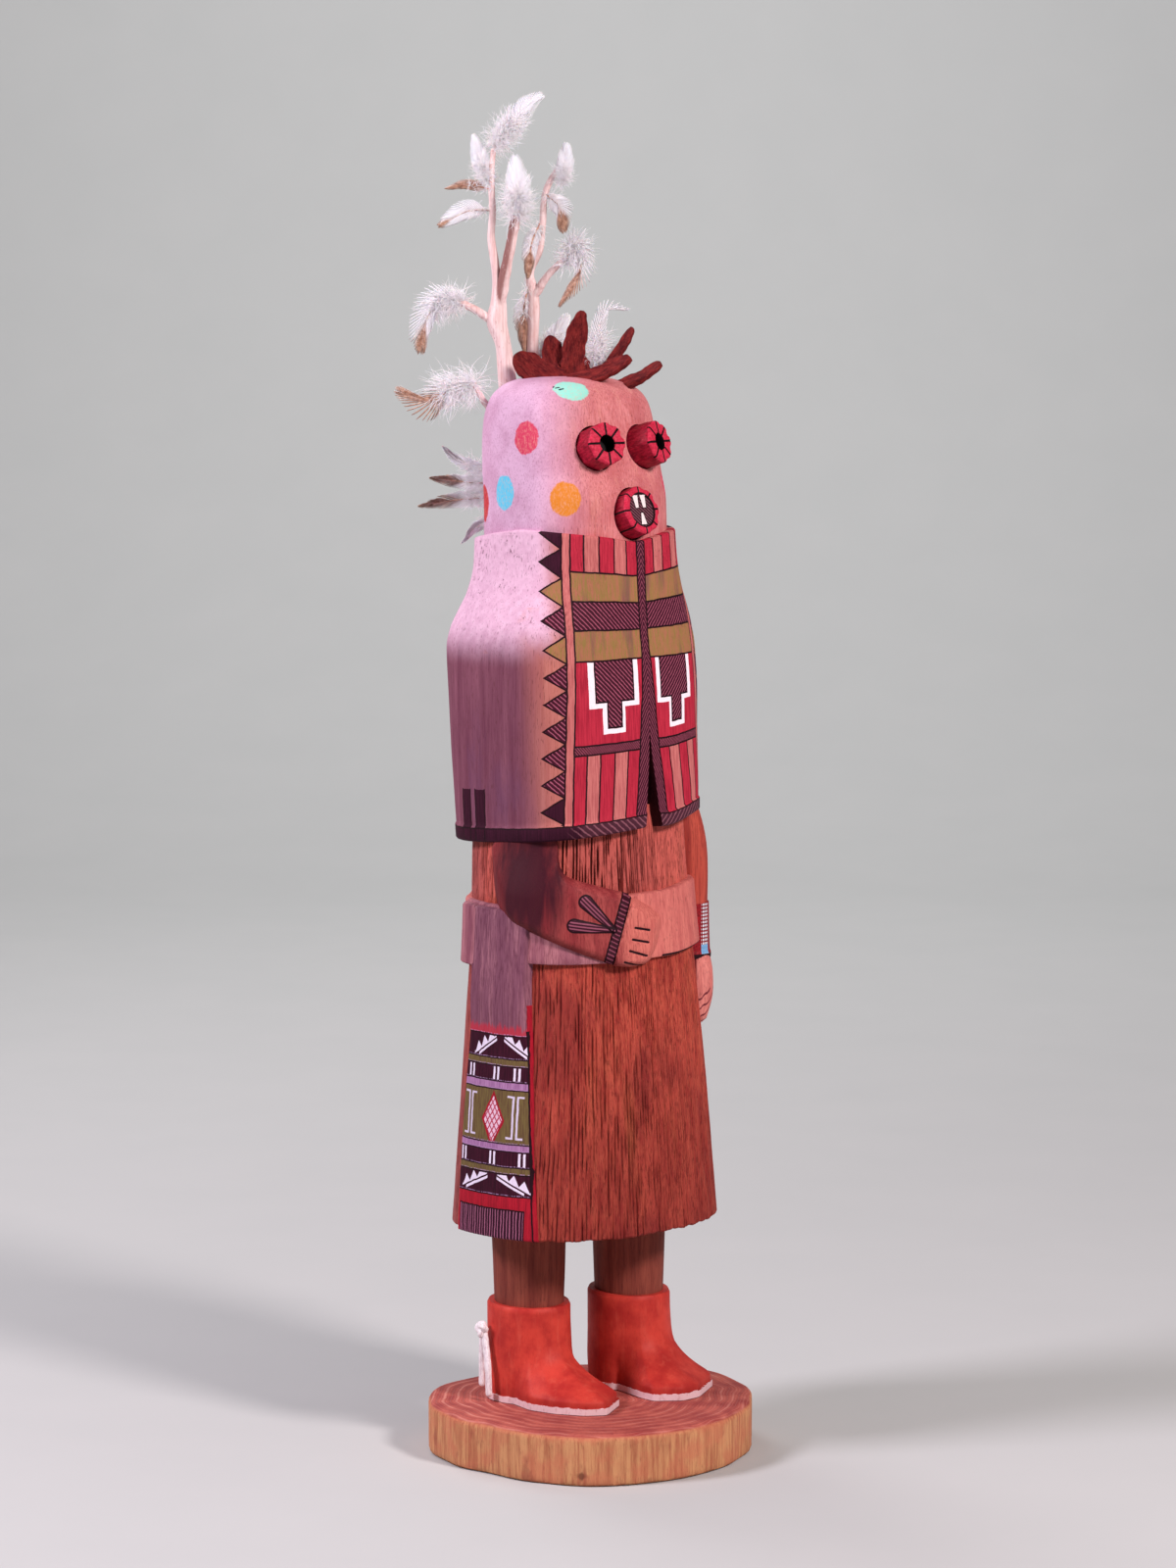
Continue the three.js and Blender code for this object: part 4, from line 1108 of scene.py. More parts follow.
def sash_look():
    look = Look("sash_wood", 0.6)
    wide, fine, pores = look.fibres(13.0)
    jitter = (look.noise((0.35, 0.35, 0.35), 2, shift=5) - 0.5) * 0.4
    y = look.y + jitter
    z = look.z + jitter
    wood = look.mix(wide.ramp(0.3, 0.6), hue(168, 112, 124), hue(126, 76, 94))
    wood = look.mix(fine.ramp(0.4, 0.68) * 0.7, wood, hue(90, 42, 62))
    wood = look.mix(pores * 0.5, wood, hue(88, 40, 54))
    lilac = look.mix(fine.ramp(0.3, 0.7), hue(176, 128, 172), hue(142, 94, 138))
    olive = look.mix(fine.ramp(0.35, 0.72), hue(112, 94, 56), hue(92, 66, 48))
    red = look.mix(fine.ramp(0.3, 0.75), hue(176, 24, 44), hue(132, 16, 34))
    dark = look.mix(fine.ramp(0.3, 0.75), hue(44, 6, 24), hue(66, 16, 38))
    white = look.mix(fine.ramp(0.5, 0.85) * 0.5, hue(232, 218, 238), hue(180, 150, 190))

    ragged = look.noise((1.5, 1.5, 0.12), 2, shift=9)
    smear = (1 - (z - ragged * 6).ramp(103.0, 104.6)) * (z > 104.2)
    colour = look.mix(smear * 0.8, wood, hue(184, 44, 62))

    def band(base, low, high, paint):
        return look.mix(z.between(low, high), base, paint)

    # on each side of a dark peak, a slanted white stroke with a row of white spikes behind it
    def peaks(low, high, middle, near, fall, size):
        out = abs(y - middle)
        line = (high - 1.3) - (out - near) * fall
        stroke = (abs(z - line) < 0.36) * out.between(near, near + size)
        foot = line + 0.85
        saw = 1 - abs(((out - near - 0.9) * (3 / (size + 0.6))).part() - 0.5) * 2
        spikes = (z > foot) * (z < foot + 0.35 + saw * 2.4) * out.between(near + 0.2, near + size + 1.8)
        return stroke.most(spikes) * z.between(low + 0.35, high - 0.35)

    colour = band(colour, 98.0, 104.4, look.mix(peaks(98.0, 104.4, -2.6, 1.3, 0.64, 6.9), dark, white))
    colour = band(colour, 96.0, 98.0, olive)

    def double_bars(base, low, high, centres):
        bars = look.calc("ADD", 0, 0)
        for centre in centres:
            bars = bars + (abs(abs(y - centre) - 0.72) < 0.34)
        return look.mix(bars * z.between(low + 0.4, high - 0.3), base, white)

    colour = band(colour, 91.8, 96.0, double_bars(dark, 91.8, 96.0, (8.2, -1.5, -8.3)))
    colour = band(colour, 89.6, 91.8, lilac)
    field_z = abs(z - 82.2)
    diamond = abs(y + 1.0) * (1 / 3.7) + abs(z - 81.2) * (1 / 7.1)
    rising = abs(((y + z * 0.66) * 0.6).part() - 0.5)
    falling = abs(((y - z * 0.66) * 0.6).part() - 0.5)
    lattice = rising.least(falling)
    gem = look.mix(lattice < 0.13, hue(226, 190, 208), hue(176, 52, 80))
    centre_field = look.mix(diamond < 1.0, olive, gem)
    centre_field = look.mix(abs(diamond - 1.02) < 0.1, centre_field, red)
    brackets = look.calc("ADD", 0, 0)
    for centre in (8.0, -8.3):
        out = abs(y - centre)
        bar = (abs(out - 0.66) < 0.3) * (field_z < 5.9)
        serif = out.between(0.4, 2.5) * (abs(field_z - 5.65) < 0.28)
        brackets = brackets + bar.most(serif)
    centre_field = look.mix(brackets, centre_field, look.mix(0.35, white, hue(150, 140, 170)))
    colour = band(colour, 74.9, 89.6, centre_field)
    colour = band(colour, 72.9, 74.9, lilac)
    colour = band(colour, 68.6, 72.9, double_bars(dark, 68.6, 72.9, (10.2, -1.5, -10.9)))
    colour = band(colour, 66.7, 68.6, olive)
    colour = band(colour, 60.7, 66.7, look.mix(peaks(60.7, 66.7, -1.7, 1.7, 0.45, 8.6), dark, white))
    colour = look.mix(z < 60.7, colour, red)

    fringe_wave = abs((y * (1 / FRINGE_PITCH)).part() - 0.5) * 2
    fringe = look.mix(fringe_wave.ramp(0.12, 0.36), hue(170, 100, 128), hue(48, 14, 32))
    fringed = (z < 56.9) * y.between(-12.0, 11.3)
    colour = look.mix(fringed, colour, fringe)
    front_edge = -10.6 - (107 - z) * 0.074
    border = (y < front_edge) * (z < 113)
    colour = look.mix(border, colour, red)
    lines = look.calc("ADD", 0, 0)
    glints = look.calc("ADD", 0, 0)
    for height in (104.4, 98.0, 96.0, 91.8, 89.6, 74.9, 72.9, 68.6, 66.7, 60.7):
        lines = lines + (abs(z - height) < 0.18)
        glints = glints + (abs(z - height - 0.28) < 0.1)
    frame_line = (abs(z - 56.9) < 0.2) * y.between(-12.2, 11.5) + (abs(y + 12.1) < 0.2) * (z < 57)
    lines = (lines + frame_line) * (1 - border) + (abs(y - front_edge) < 0.22) * (z < 106)
    colour = look.mix(glints * (1 - border) * fine.ramp(0.4, 0.6) * 0.6, colour, hue(206, 168, 214))
    lines = lines.least(1)
    colour = look.mix(lines, colour, BURN)
    look.colour(colour)
    look.bump(1 - lines * 0.8 - fine * 0.2 - pores * 0.2, 0.25, 0.8)
    look.rough(0.62 - lines * 0.1 + fine * 0.12)
    return look.material


def segment(look, across, height, start, end):
    """Distance to a short line on the turned plane, as nodes."""
    run = np.array(end, float) - np.array(start, float)
    size = float(run @ run)
    a = across - float(start[0])
    b = height - float(start[1])
    share = (a * float(run[0]) + b * float(run[1])) * (1 / size)
    share = share.most(0).least(1)
    gap_a = a - share * float(run[0])
    gap_b = b - share * float(run[1])
    return look.length(gap_a, gap_b)


def arm_look():
    look = Look("arm_wood", 0.55)
    wide, fine, pores = look.fibres(19.0)
    across = look.across()
    height = look.z - RIM
    colour = look.mix(wide.ramp(0.32, 0.66), hue(168, 74, 72), hue(134, 46, 50))
    colour = look.mix(fine.ramp(0.4, 0.7) * 0.6, colour, hue(104, 32, 36))
    hand = across.ramp(8, 13)
    pale = look.mix(fine.ramp(0.35, 0.7), hue(212, 118, 106), hue(178, 84, 80))
    colour = look.mix(hand, colour, pale)
    stain_a = (across + 15) * (1 / 11)
    stain_b = (height + 11) * (1 / 19)
    stain = 1 - (look.length(stain_a, stain_b) + (wide - 0.5) * 1.3).ramp(0.5, 1.2)
    colour = look.mix(stain * 0.95, colour, look.mix(fine, hue(38, 6, 22), hue(66, 18, 32)))
    # Painted shade along the lower edge of the forearm and hand.
    under = look.ramp(height + across * 0.37, -27, -31)
    colour = look.mix(under * 0.4, colour, hue(104, 46, 44))
    colour = look.mix(pores * 0.5, colour, hue(70, 26, 26))

    wrist = segment(look, across, height, WRIST_LOW, WRIST_HIGH)
    twist = look.hatch(across, height, 0.55, 1.1, 0.1)
    cord = look.mix(twist, hue(132, 66, 84), hue(54, 12, 28))
    colour = look.mix(wrist < 1.22, colour, cord)
    lines = abs(wrist - 1.22) < 0.2
    for end in BOW_ENDS:
        gap = segment(look, across, height, KNOT, end)
        a = across - float(KNOT[0])
        b = height - float(KNOT[1])
        width = 0.55 + look.length(a, b) * 0.11
        run = (end - KNOT) / np.linalg.norm(end - KNOT)
        offset = a * float(-run[1]) + b * float(run[0])
        strokes = abs((offset * (1 / 0.85)).part() - 0.5).ramp(0.2, 0.36)
        loop = look.mix(strokes, hue(56, 14, 32), hue(146, 78, 98))
        colour = look.mix(gap < width, colour, loop)
        lines = lines + (abs(gap - width) < 0.24)
    for start, end in FINGERS:
        lines = lines + (segment(look, across, height, start, end) < 0.3)
    lines = lines.least(1)
    colour = look.mix(lines, colour, BURN)
    look.colour(colour)
    look.bump(1 - lines * 0.8 - fine * 0.25 - pores * 0.2, 0.22, 0.8)
    look.rough(0.5 + fine * 0.2)
    return look.material


def boot_look():
    look = Look("boot_paint", 0.5)
    _, fine, pores = look.fibres(23.0)
    patch = look.noise((0.12, 0.12, 0.12), 4, 0.6, shift=2)
    colour = look.mix(patch.ramp(0.32, 0.68), hue(204, 66, 54), hue(172, 44, 40))
    colour = look.mix(look.noise((0.5, 0.5, 0.1), 4, 0.6).ramp(0.5, 0.75) * 0.3, colour, hue(214, 96, 78))
    scuff = look.noise((1.1, 1.1, 0.7), 4, 0.7, shift=31).ramp(0.7, 0.76)
    colour = look.mix(scuff * 0.6, colour, hue(92, 26, 24))
    colour = look.mix(look.z.ramp(6, 1.5) * 0.35, colour, hue(136, 40, 36))
    colour = look.mix(pores * 0.25, colour, hue(120, 34, 28))
    scraped = look.noise((1.2, 1.2, 0.6), 3).ramp(0.5, 0.75)
    sole = look.mix(scraped * 0.5, hue(232, 200, 204), hue(190, 130, 130))
    edge = look.z + (look.noise((0.8, 0.8, 0.8), 2) - 0.5) * 0.4
    colour = look.mix(edge < SOLE, colour, sole)
    # Painted shade: a near-black line at the sole's foot, where the boot stands on the slice.
    colour = look.mix(look.z < 0.14, colour, BURN)
    look.colour(colour)
    look.bump(fine * 0.5 + patch * 0.3 - scuff * 0.4, 0.15, 0.6)
    look.rough(0.42 + patch * 0.2)
    return look.material


def guard_look():
    """Red leather with silver beads down the outside."""
    look = Look("guard_leather", 0.5)
    speck = look.noise((2.5, 2.5, 2.5), 3)
    leather = look.mix(speck.ramp(0.35, 0.7), hue(156, 32, 40), hue(104, 16, 26))
    x = look.x - 34.2
    y = look.y + 8.4
    aside = x * RIGHT[0] + y * RIGHT[1]
    nearer = x * -AHEAD[0] - y * AHEAD[1]
    round_arm = look.calc("ARCTAN2", aside, nearer)
    face = round_arm.between(0.62, 1.12)
    cell_x = (round_arm * 5.9).part() - 0.5
    cell_z = look.z.part() - 0.5
    bead = 1 - look.length(cell_x, cell_z).ramp(0.3, 0.44)
    bead = bead * face * (look.z > 120.4)
    colour = look.mix(bead, leather, hue(226, 226, 234))
    patch = look.z.between(120.6, 123.2) * face
    colour = look.mix(patch, colour, hue(126, 178, 222))
    colour = look.mix(look.z < 120.55, colour, hue(40, 10, 18))
    look.colour(colour)
    look.bump(bead + speck * 0.15, 0.5, 0.8)
    look.rough(0.5 - bead * 0.25)
    return look.material


def left_hand_look():
    def palm(look, colour, wide, fine):
        # Painted shade: the hand's inner side, next to the robe, is painted dark red-brown.
        inner = look.ramp(look.across(), 31.7, 31.2)
        slots = abs(((look.x * 0.5 - look.z * 0.35 + look.y * 0.5) * 0.8).part() - 0.5) < 0.1
        colour = look.mix(slots * look.z.between(101, 111), colour, hue(112, 44, 52))
        return look.mix(inner, colour, hue(104, 26, 32))

    return plain_wood("left_hand_wood", hue(226, 140, 130), hue(200, 108, 102), hue(150, 70, 70), 27.0, palm)


def base_look():
    look = Look("log_slice", 0.6)
    ring = look.value("ring")
    top = look.value("top")
    wobble = look.noise((0.06, 0.06, 0.06), 1) * 1.5 + look.noise((0.4, 0.4, 0.4), 1) * 0.08
    phase = ring * 12.5 + wobble
    wave = abs(phase.part() - 0.5) * 2
    fine_wave = abs((phase * 4).part() - 0.5) * 2
    strength = look.noise((0.12, 0.12, 0.12), 2, shift=40)
    stained = look.noise((0.12, 0.12, 0.12), 4).ramp(0.35, 0.65)
    colour = look.mix(stained, hue(178, 88, 76), hue(150, 62, 58))
    colour = look.mix(look.noise((1.2, 1.2, 1.2), 4, 0.7).ramp(0.45, 0.7) * 0.4, colour, hue(122, 46, 50))
    left = look.ramp(look.across(), 0, -40)
    lit = wave.ramp(0.62, 0.95) * (strength.ramp(0.35, 0.65) * 0.6 + left * 0.4)
    colour = look.mix(lit * 0.5, colour, hue(222, 150, 132))
    colour = look.mix((1 - wave).ramp(0.7, 1.0) * 0.45, colour, hue(112, 42, 46))
    colour = look.mix(fine_wave.ramp(0.6, 0.95) * 0.16, colour, hue(232, 160, 148))
    heart = 1 - ring.ramp(0.0, 0.3)
    colour = look.mix(heart * 0.4, colour, hue(124, 46, 50))

    streak = look.noise((0.9, 0.9, 0.06), 4, 0.65, shift=3)
    fleck = look.noise((2.4, 2.4, 0.3), 3, 0.6, shift=8)
    side = look.mix(streak.ramp(0.36, 0.7), hue(206, 148, 104), hue(168, 100, 72))
    cloudy = look.noise((0.14, 0.14, 0.14), 3, shift=19).ramp(0.42, 0.62)
    side = look.mix(cloudy * 0.5, side, hue(196, 110, 84))
    side = look.mix(fleck.ramp(0.58, 0.74) * 0.55, side, hue(128, 70, 54))
    blotches = look.noise((0.22, 0.22, 0.1), 3, shift=22).ramp(0.58, 0.72)
    side = look.mix(blotches * 0.5, side, hue(134, 66, 56))
    knots = [((-37.6, -47.0, -7.6), 2.6), ((-42.0, -38.0, -11.2), 1.7), ((28.0, -38.0, -8), 2.2)]
    for centre, size in knots:
        offset = [axis - c for axis, c in zip((look.x, look.y, look.z), centre)]
        gap = look.calc("SQRT", offset[0] * offset[0] + offset[1] * offset[1] + offset[2] * offset[2] * 1.6)
        knot = 1 - (gap + (streak - 0.5) * 2).ramp(size * 0.4, size)
        side = look.mix(knot * 0.75, side, hue(96, 50, 40))
    rim = look.ramp(look.z, -2.2, -0.4)
    side = look.mix(rim * 0.5, side, hue(190, 100, 76))
    colour = look.mix(top, side, colour)
    look.colour(colour)
    relief_height = (wave * 0.4 + look.noise((1.2, 1.2, 1.2), 3) * 0.35) * top + fleck * (1 - top) * 0.8
    look.bump(relief_height, 0.35, 0.7)
    look.rough(0.62 - lit * 0.12 + streak * 0.1)
    return look.material


def tube_look(name, kind):
    """Red tubes with eight burned spokes; the mouth has a dark disc with three white teeth."""
    look = Look(name, 0.45)
    vector = look.local("local")
    x, y, z = look.split(vector)
    speck = look.noise((1.4, 1.4, 0.5), 4, 0.65, vector=vector)
    end = z > (9.0 if kind == "eye" else 9.1)
    # The side walls take a darker red than the end face: painted shade on the walls.
    front = look.mix(speck.ramp(0.32, 0.68), hue(206, 50, 78), hue(176, 30, 56))
    shaded_wall = look.mix(speck.ramp(0.32, 0.68), hue(170, 26, 52), hue(118, 10, 32))
    red = look.mix(end, shaded_wall, front)
    worn = look.noise((3.4, 3.4, 0.8), 2, vector=vector, shift=6).ramp(0.6, 0.75)
    red = look.mix(worn * 0.4, red, hue(222, 84, 100))
    reach = look.length(x, y)
    angle = look.calc("ARCTAN2", y, x)
    turns = abs(((angle * (4 / math.pi)) + 0.5 + (speck - 0.5) * 0.05).part() - 0.5)
    spoke_gap = turns * reach * (math.pi / 4)
    if kind == "eye":
        mask = (spoke_gap < 0.31) * (z > 8.7) * (reach > 2.3)
        colour = look.mix(mask, red, EDGE)
        colour = look.mix((reach < 2.42) * (z > 4), colour, hue(10, 5, 6))
        look.bump(speck * 0.4 - mask * 0.9, 0.3, 0.8)
    else:
        mask = (spoke_gap < 0.27) * (z > 1.5) * (reach > 4.5)
        colour = look.mix(mask, red, EDGE)
        strokes = look.hatch(x, y, 0.9, 0.8)
        disc = look.mix(strokes, hue(132, 84, 96), hue(58, 26, 34))
        face = (reach < 4.72) * (z > 8)
        colour = look.mix(face, colour, disc)
        upper = (abs(abs(x) - 1.45) < (0.55 + (y - 0.7) * 0.13)) * y.between(0.7, 4.2)
        lower = (abs(x) < (0.35 - (y + 0.8) * 0.22)) * y.between(-4.0, -0.8)
        teeth = (upper + lower) * face
        ring = abs(reach - 4.72) < 0.22
        thick = (abs(abs(x) - 1.45) < (0.83 + (y - 0.7) * 0.13)) * y.between(0.45, 4.5)
        thick = thick + (abs(x) < (0.62 - (y + 0.8) * 0.22)) * y.between(-4.3, -0.5)
        colour = look.mix(thick * face, colour, BURN)
        colour = look.mix(ring * (z > 8), colour, BURN)
        colour = look.mix(teeth, colour, hue(236, 222, 222))
        look.bump(speck * 0.4 - mask * 0.9 - strokes * face * 0.2, 0.3, 0.8)
    look.colour(colour)
    look.rough(0.38 + speck * 0.25)
    return look.material


def petal_look():
    look = Look("petal_wood", 0.85)
    vector = look.local("local")
    coarse = look.noise((0.9, 0.25, 0.9), 5, 0.75, vector=vector)
    fine = look.noise((4.0, 0.8, 4.0), 4, 0.7, vector=vector, shift=3)
    colour = look.mix(coarse.ramp(0.3, 0.66), hue(134, 42, 40), hue(78, 18, 24))
    colour = look.mix(fine.ramp(0.5, 0.78) * 0.5, colour, hue(184, 84, 70))
    colour = look.mix(coarse.ramp(0.66, 0.74) * 0.7, colour, hue(60, 20, 20))
    look.colour(colour)
    look.bump(coarse * 0.6 + fine * 0.4, 0.7, 1.0)
    return look.material


def twig_look():
    look = Look("twig_wood", 0.7)
    vector = look.local("local")
    streak = look.noise((1.6, 1.6, 0.08), 4, 0.6, vector=vector)
    speck = look.noise((2.4, 2.4, 0.9), 3, 0.65, vector=vector, shift=8)
    colour = look.mix(streak.ramp(0.35, 0.66), hue(242, 218, 216), hue(220, 184, 182))
    colour = look.mix(speck.ramp(0.62, 0.72) * 0.7, colour, hue(160, 96, 88))
    rosy = look.noise((0.2, 0.2, 0.12), 3, shift=5).ramp(0.55, 0.75)
    colour = look.mix(rosy * 0.4, colour, hue(206, 148, 138))
    bark = look.value("bark")
    colour = look.mix(bark * speck.ramp(0.15, 0.45) * 0.9, colour, hue(128, 78, 72))
    look.colour(colour)
    look.bump(streak * 0.5 + speck * 0.5, 0.25, 0.8)
    return look.material


def feather_look():
    look = Look("feather_down", 0.85)
    tone = look.value("tone")
    along = look.value("along")
    mottle = look.noise((0.9, 0.9, 0.9), 3, 0.6)
    white = look.mix(mottle, hue(255, 253, 255), hue(250, 238, 242))
    brown = look.mix(mottle.ramp(0.3, 0.7), hue(206, 154, 128), hue(146, 94, 72))
    colour = look.mix((tone + (mottle - 0.5) * 0.35).ramp(0.2, 0.8), white, brown)
    colour = look.mix(along.ramp(0.7, 1.0) * tone * 0.35, colour, hue(110, 70, 58))
    look.colour(colour)
    look.shader.inputs["Sheen Weight"].default_value = 0.6
    look.shader.inputs["Subsurface Weight"].default_value = 0.25
    look.shader.inputs["Subsurface Scale"].default_value = 0.001
    return look.material


def thong_look():
    look = Look("thong_leather", 0.75)
    grain = look.noise((2.2, 2.2, 0.5), 4, 0.65)
    colour = look.mix(grain.ramp(0.4, 0.75), hue(244, 236, 238), hue(202, 176, 186))
    look.colour(colour)
    look.bump(grain, 0.2, 0.8)
    return look.material


# The carved figure, joined as one piece of wood


def solid(name, parts, look):
    return Form().add(*parts).build(name, [look])


def combine(target, tool, operation):
    """Joins or cuts with another closed body, then drops it."""
    modifier = target.modifiers.new("work", "BOOLEAN")
    modifier.object = tool
    modifier.operation = operation
    modifier.solver = "MANIFOLD"
    modifier.material_mode = "TRANSFER"
    bpy.context.view_layer.update()
    ready = target.evaluated_get(bpy.context.evaluated_depsgraph_get())
    mesh = bpy.data.meshes.new_from_object(ready)
    target.modifiers.remove(modifier)
    old = target.data
    target.data = mesh
    mesh.name = old.name
    bpy.data.meshes.remove(old)
    bpy.data.objects.remove(tool)


def slit_cutter():
    half = 2.7
    right = [[0.7, SLIT_TOP - 8], [half, RIM + 6], [half + 0.9, RIM + 1.6], [half + 3, RIM - 4]]
    outline = [[0, SLIT_TOP]] + [[-x, z] for x, z in right] + right[::-1]
    return lofted(np.array([[[x + SEAM_X, y, z] for x, z in outline] for y in (-19.5, -40)]))


TUBE_DEPTH = 3.5


def tube_place(x, y, z, turn, tilt):
    """The matrix of a tube whose +Z points out of the face and whose +Y stays upright."""
    turn = math.radians(turn)
    tilt = math.radians(tilt)
    way = Vector((math.sin(turn) * math.cos(tilt), -math.cos(turn) * math.cos(tilt), math.sin(tilt)))
    across = Vector((0, 0, 1)).cross(way).normalized()
    up = way.cross(across)
    start = Vector((x, y, z)) - way * TUBE_DEPTH
    return np.array([list(across), list(up), list(way)]).T, np.array(start)


TUBES = {
    "eye_right": (tube_place(-9.3, -12.8, 263.49, -13, 15), 6.1, 6.2, "eye"),
    "eye_left": (tube_place(9.3, -12.8, 263.49, 13, 15), 6.1, 6.2, "eye"),
    "mouth": (tube_place(0, -15.6, 245.0, 0, 17), 6.85, 6.4, "mouth"),
}


def socket_form(turn, start, radius):
    """A round body that cuts a tube's socket, a little wider than the tube."""
    angle = turned(64)
    wide = radius + 0.25
    rings = [np.stack([wide * np.cos(angle), wide * np.sin(angle), np.full(64, z)], 1) for z in (-0.3, 12)]
    return lofted(np.array(rings) @ turn.T + start)


def figure_piece():
    looks = {
        "robe": robe_look(),
        "cape": cape_look(),
        "head": head_look(),
        "belt": belt_look(),
        "sash": sash_look(),
        "arm": arm_look(),
        "guard": guard_look(),
        "left": left_hand_look(),
        "boot": boot_look(),
        "sleeve": plain_wood("sleeve_wood", hue(190, 82, 66), hue(150, 54, 48), hue(112, 34, 34), 37.0),
        "slit": plain_wood("slit_wood", hue(70, 20, 30), hue(46, 12, 20), hue(30, 8, 14), 39.0),
        "leg": plain_wood("leg_wood", hue(142, 72, 58), hue(116, 52, 44), hue(92, 36, 34), 31.0),
    }
    figure = solid("figure_wood", robe_form(), looks["robe"])
    cape = solid("cape_part", cape_form(), looks["cape"])
    combine(cape, solid("slit", slit_cutter(), looks["slit"]), "DIFFERENCE")
    combine(figure, cape, "UNION")
    sash = relief(SASH_BORDER, sash_heights, SIDE_TURN, 0.62, -3.0, (0.12, 0.3, 0.55))
    lap = relief(LAP_BORDER, lap_heights, SIDE_TURN, 0.9, -3.0, (0.15, 0.35, 0.7))
    arm = relief(ARM_SMOOTH + np.array([0, RIM]), arm_heights, FACING, 0.55, -4.0)
    left = left_arm_forms()
    parts = [("head", head_form()), ("belt", belt_form()), ("sash", sash), ("belt", lap), ("arm", arm)]
    parts += [("sleeve", left["sleeve"]), ("guard", left["guard"])]
    parts += [("left", left["hand"]), ("guard", left["cord"])]
    for leg, sole in ((RIGHT_LEG, RIGHT_SOLE), (LEFT_LEG, LEFT_SOLE)):
        parts += [("leg", leg_form(leg)), ("boot", boot_form(leg, sole))]
    for look, form in parts:
        combine(figure, solid(look + "_part", form, looks[look]), "UNION")
    for (turn, start), radius, _, _ in TUBES.values():
        combine(figure, solid("socket", socket_form(turn, start, radius), looks["head"]), "DIFFERENCE")
    return figure


def point_values(figure):
    """The distance round the cape from its seam, the cape's own level, and the depth of the robe's cuts."""
    p = read_points(figure.data)
    angles = np.linspace(-math.pi / 2 - math.pi, -math.pi / 2 + math.pi, 721)
    heights = np.linspace(RIM, COLLAR, 60)
    x, y = oval(CAPE, CAPE_SQUARE, heights, angles)
    run = np.hypot(np.diff(x, axis=1), np.diff(y, axis=1))
    arc = np.concatenate([np.zeros((len(heights), 1)), np.cumsum(run, axis=1)], 1)
    front = slice(240, 481)
    seam_at = [np.interp(SEAM_X, row_x[front], row_arc[front]) for row_x, row_arc in zip(x, arc)]
    arc = np.array(seam_at)[:, None] - arc
    shift = rim_shift(p[:, 0], p[:, 1])
    side = SHOULDER - RIM
    lower = (p[:, 2] - shift * SHOULDER / side) / (1 - shift / side)
    angle = np.arctan2(p[:, 1], p[:, 0])
    lift = collar_lift(angle % (2 * math.pi))
    rise = COLLAR - SHOULDER
    upper = (p[:, 2] + lift * SHOULDER / rise) / (1 + lift / rise)
    level = np.where(p[:, 2] < SHOULDER, lower, upper)
    angle = np.where(angle > math.pi / 2, angle - 2 * math.pi, angle)
    row = np.clip((level - RIM) / (COLLAR - RIM) * (len(heights) - 1), 0, len(heights) - 1.001)
    column = np.clip((angle - angles[0]) / (angles[-1] - angles[0]) * 720, 0, 719.99)
    i = row.astype(int)
    j = column.astype(int)
    u = row - i
    v = column - j
    low = arc[i, j] * (1 - v) + arc[i, j + 1] * v
    high = arc[i + 1, j] * (1 - v) + arc[i + 1, j + 1] * v
    seam = low * (1 - u) + high * u
    carve = groove_depth(angle % (2 * math.pi), p[:, 2])
    for name, data in (("seam", seam), ("level", level), ("carve", carve)):
        write_values(figure.data, name, data)


def sharpen(obj, degrees):
    obj.data.shade_smooth()
    obj.data.set_sharp_from_angle(angle=math.radians(degrees))


figure = figure_piece()
point_values(figure)
sharpen(figure, 42)
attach(figure, ROOT)
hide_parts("figure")


# The tube eyes and the tube mouth


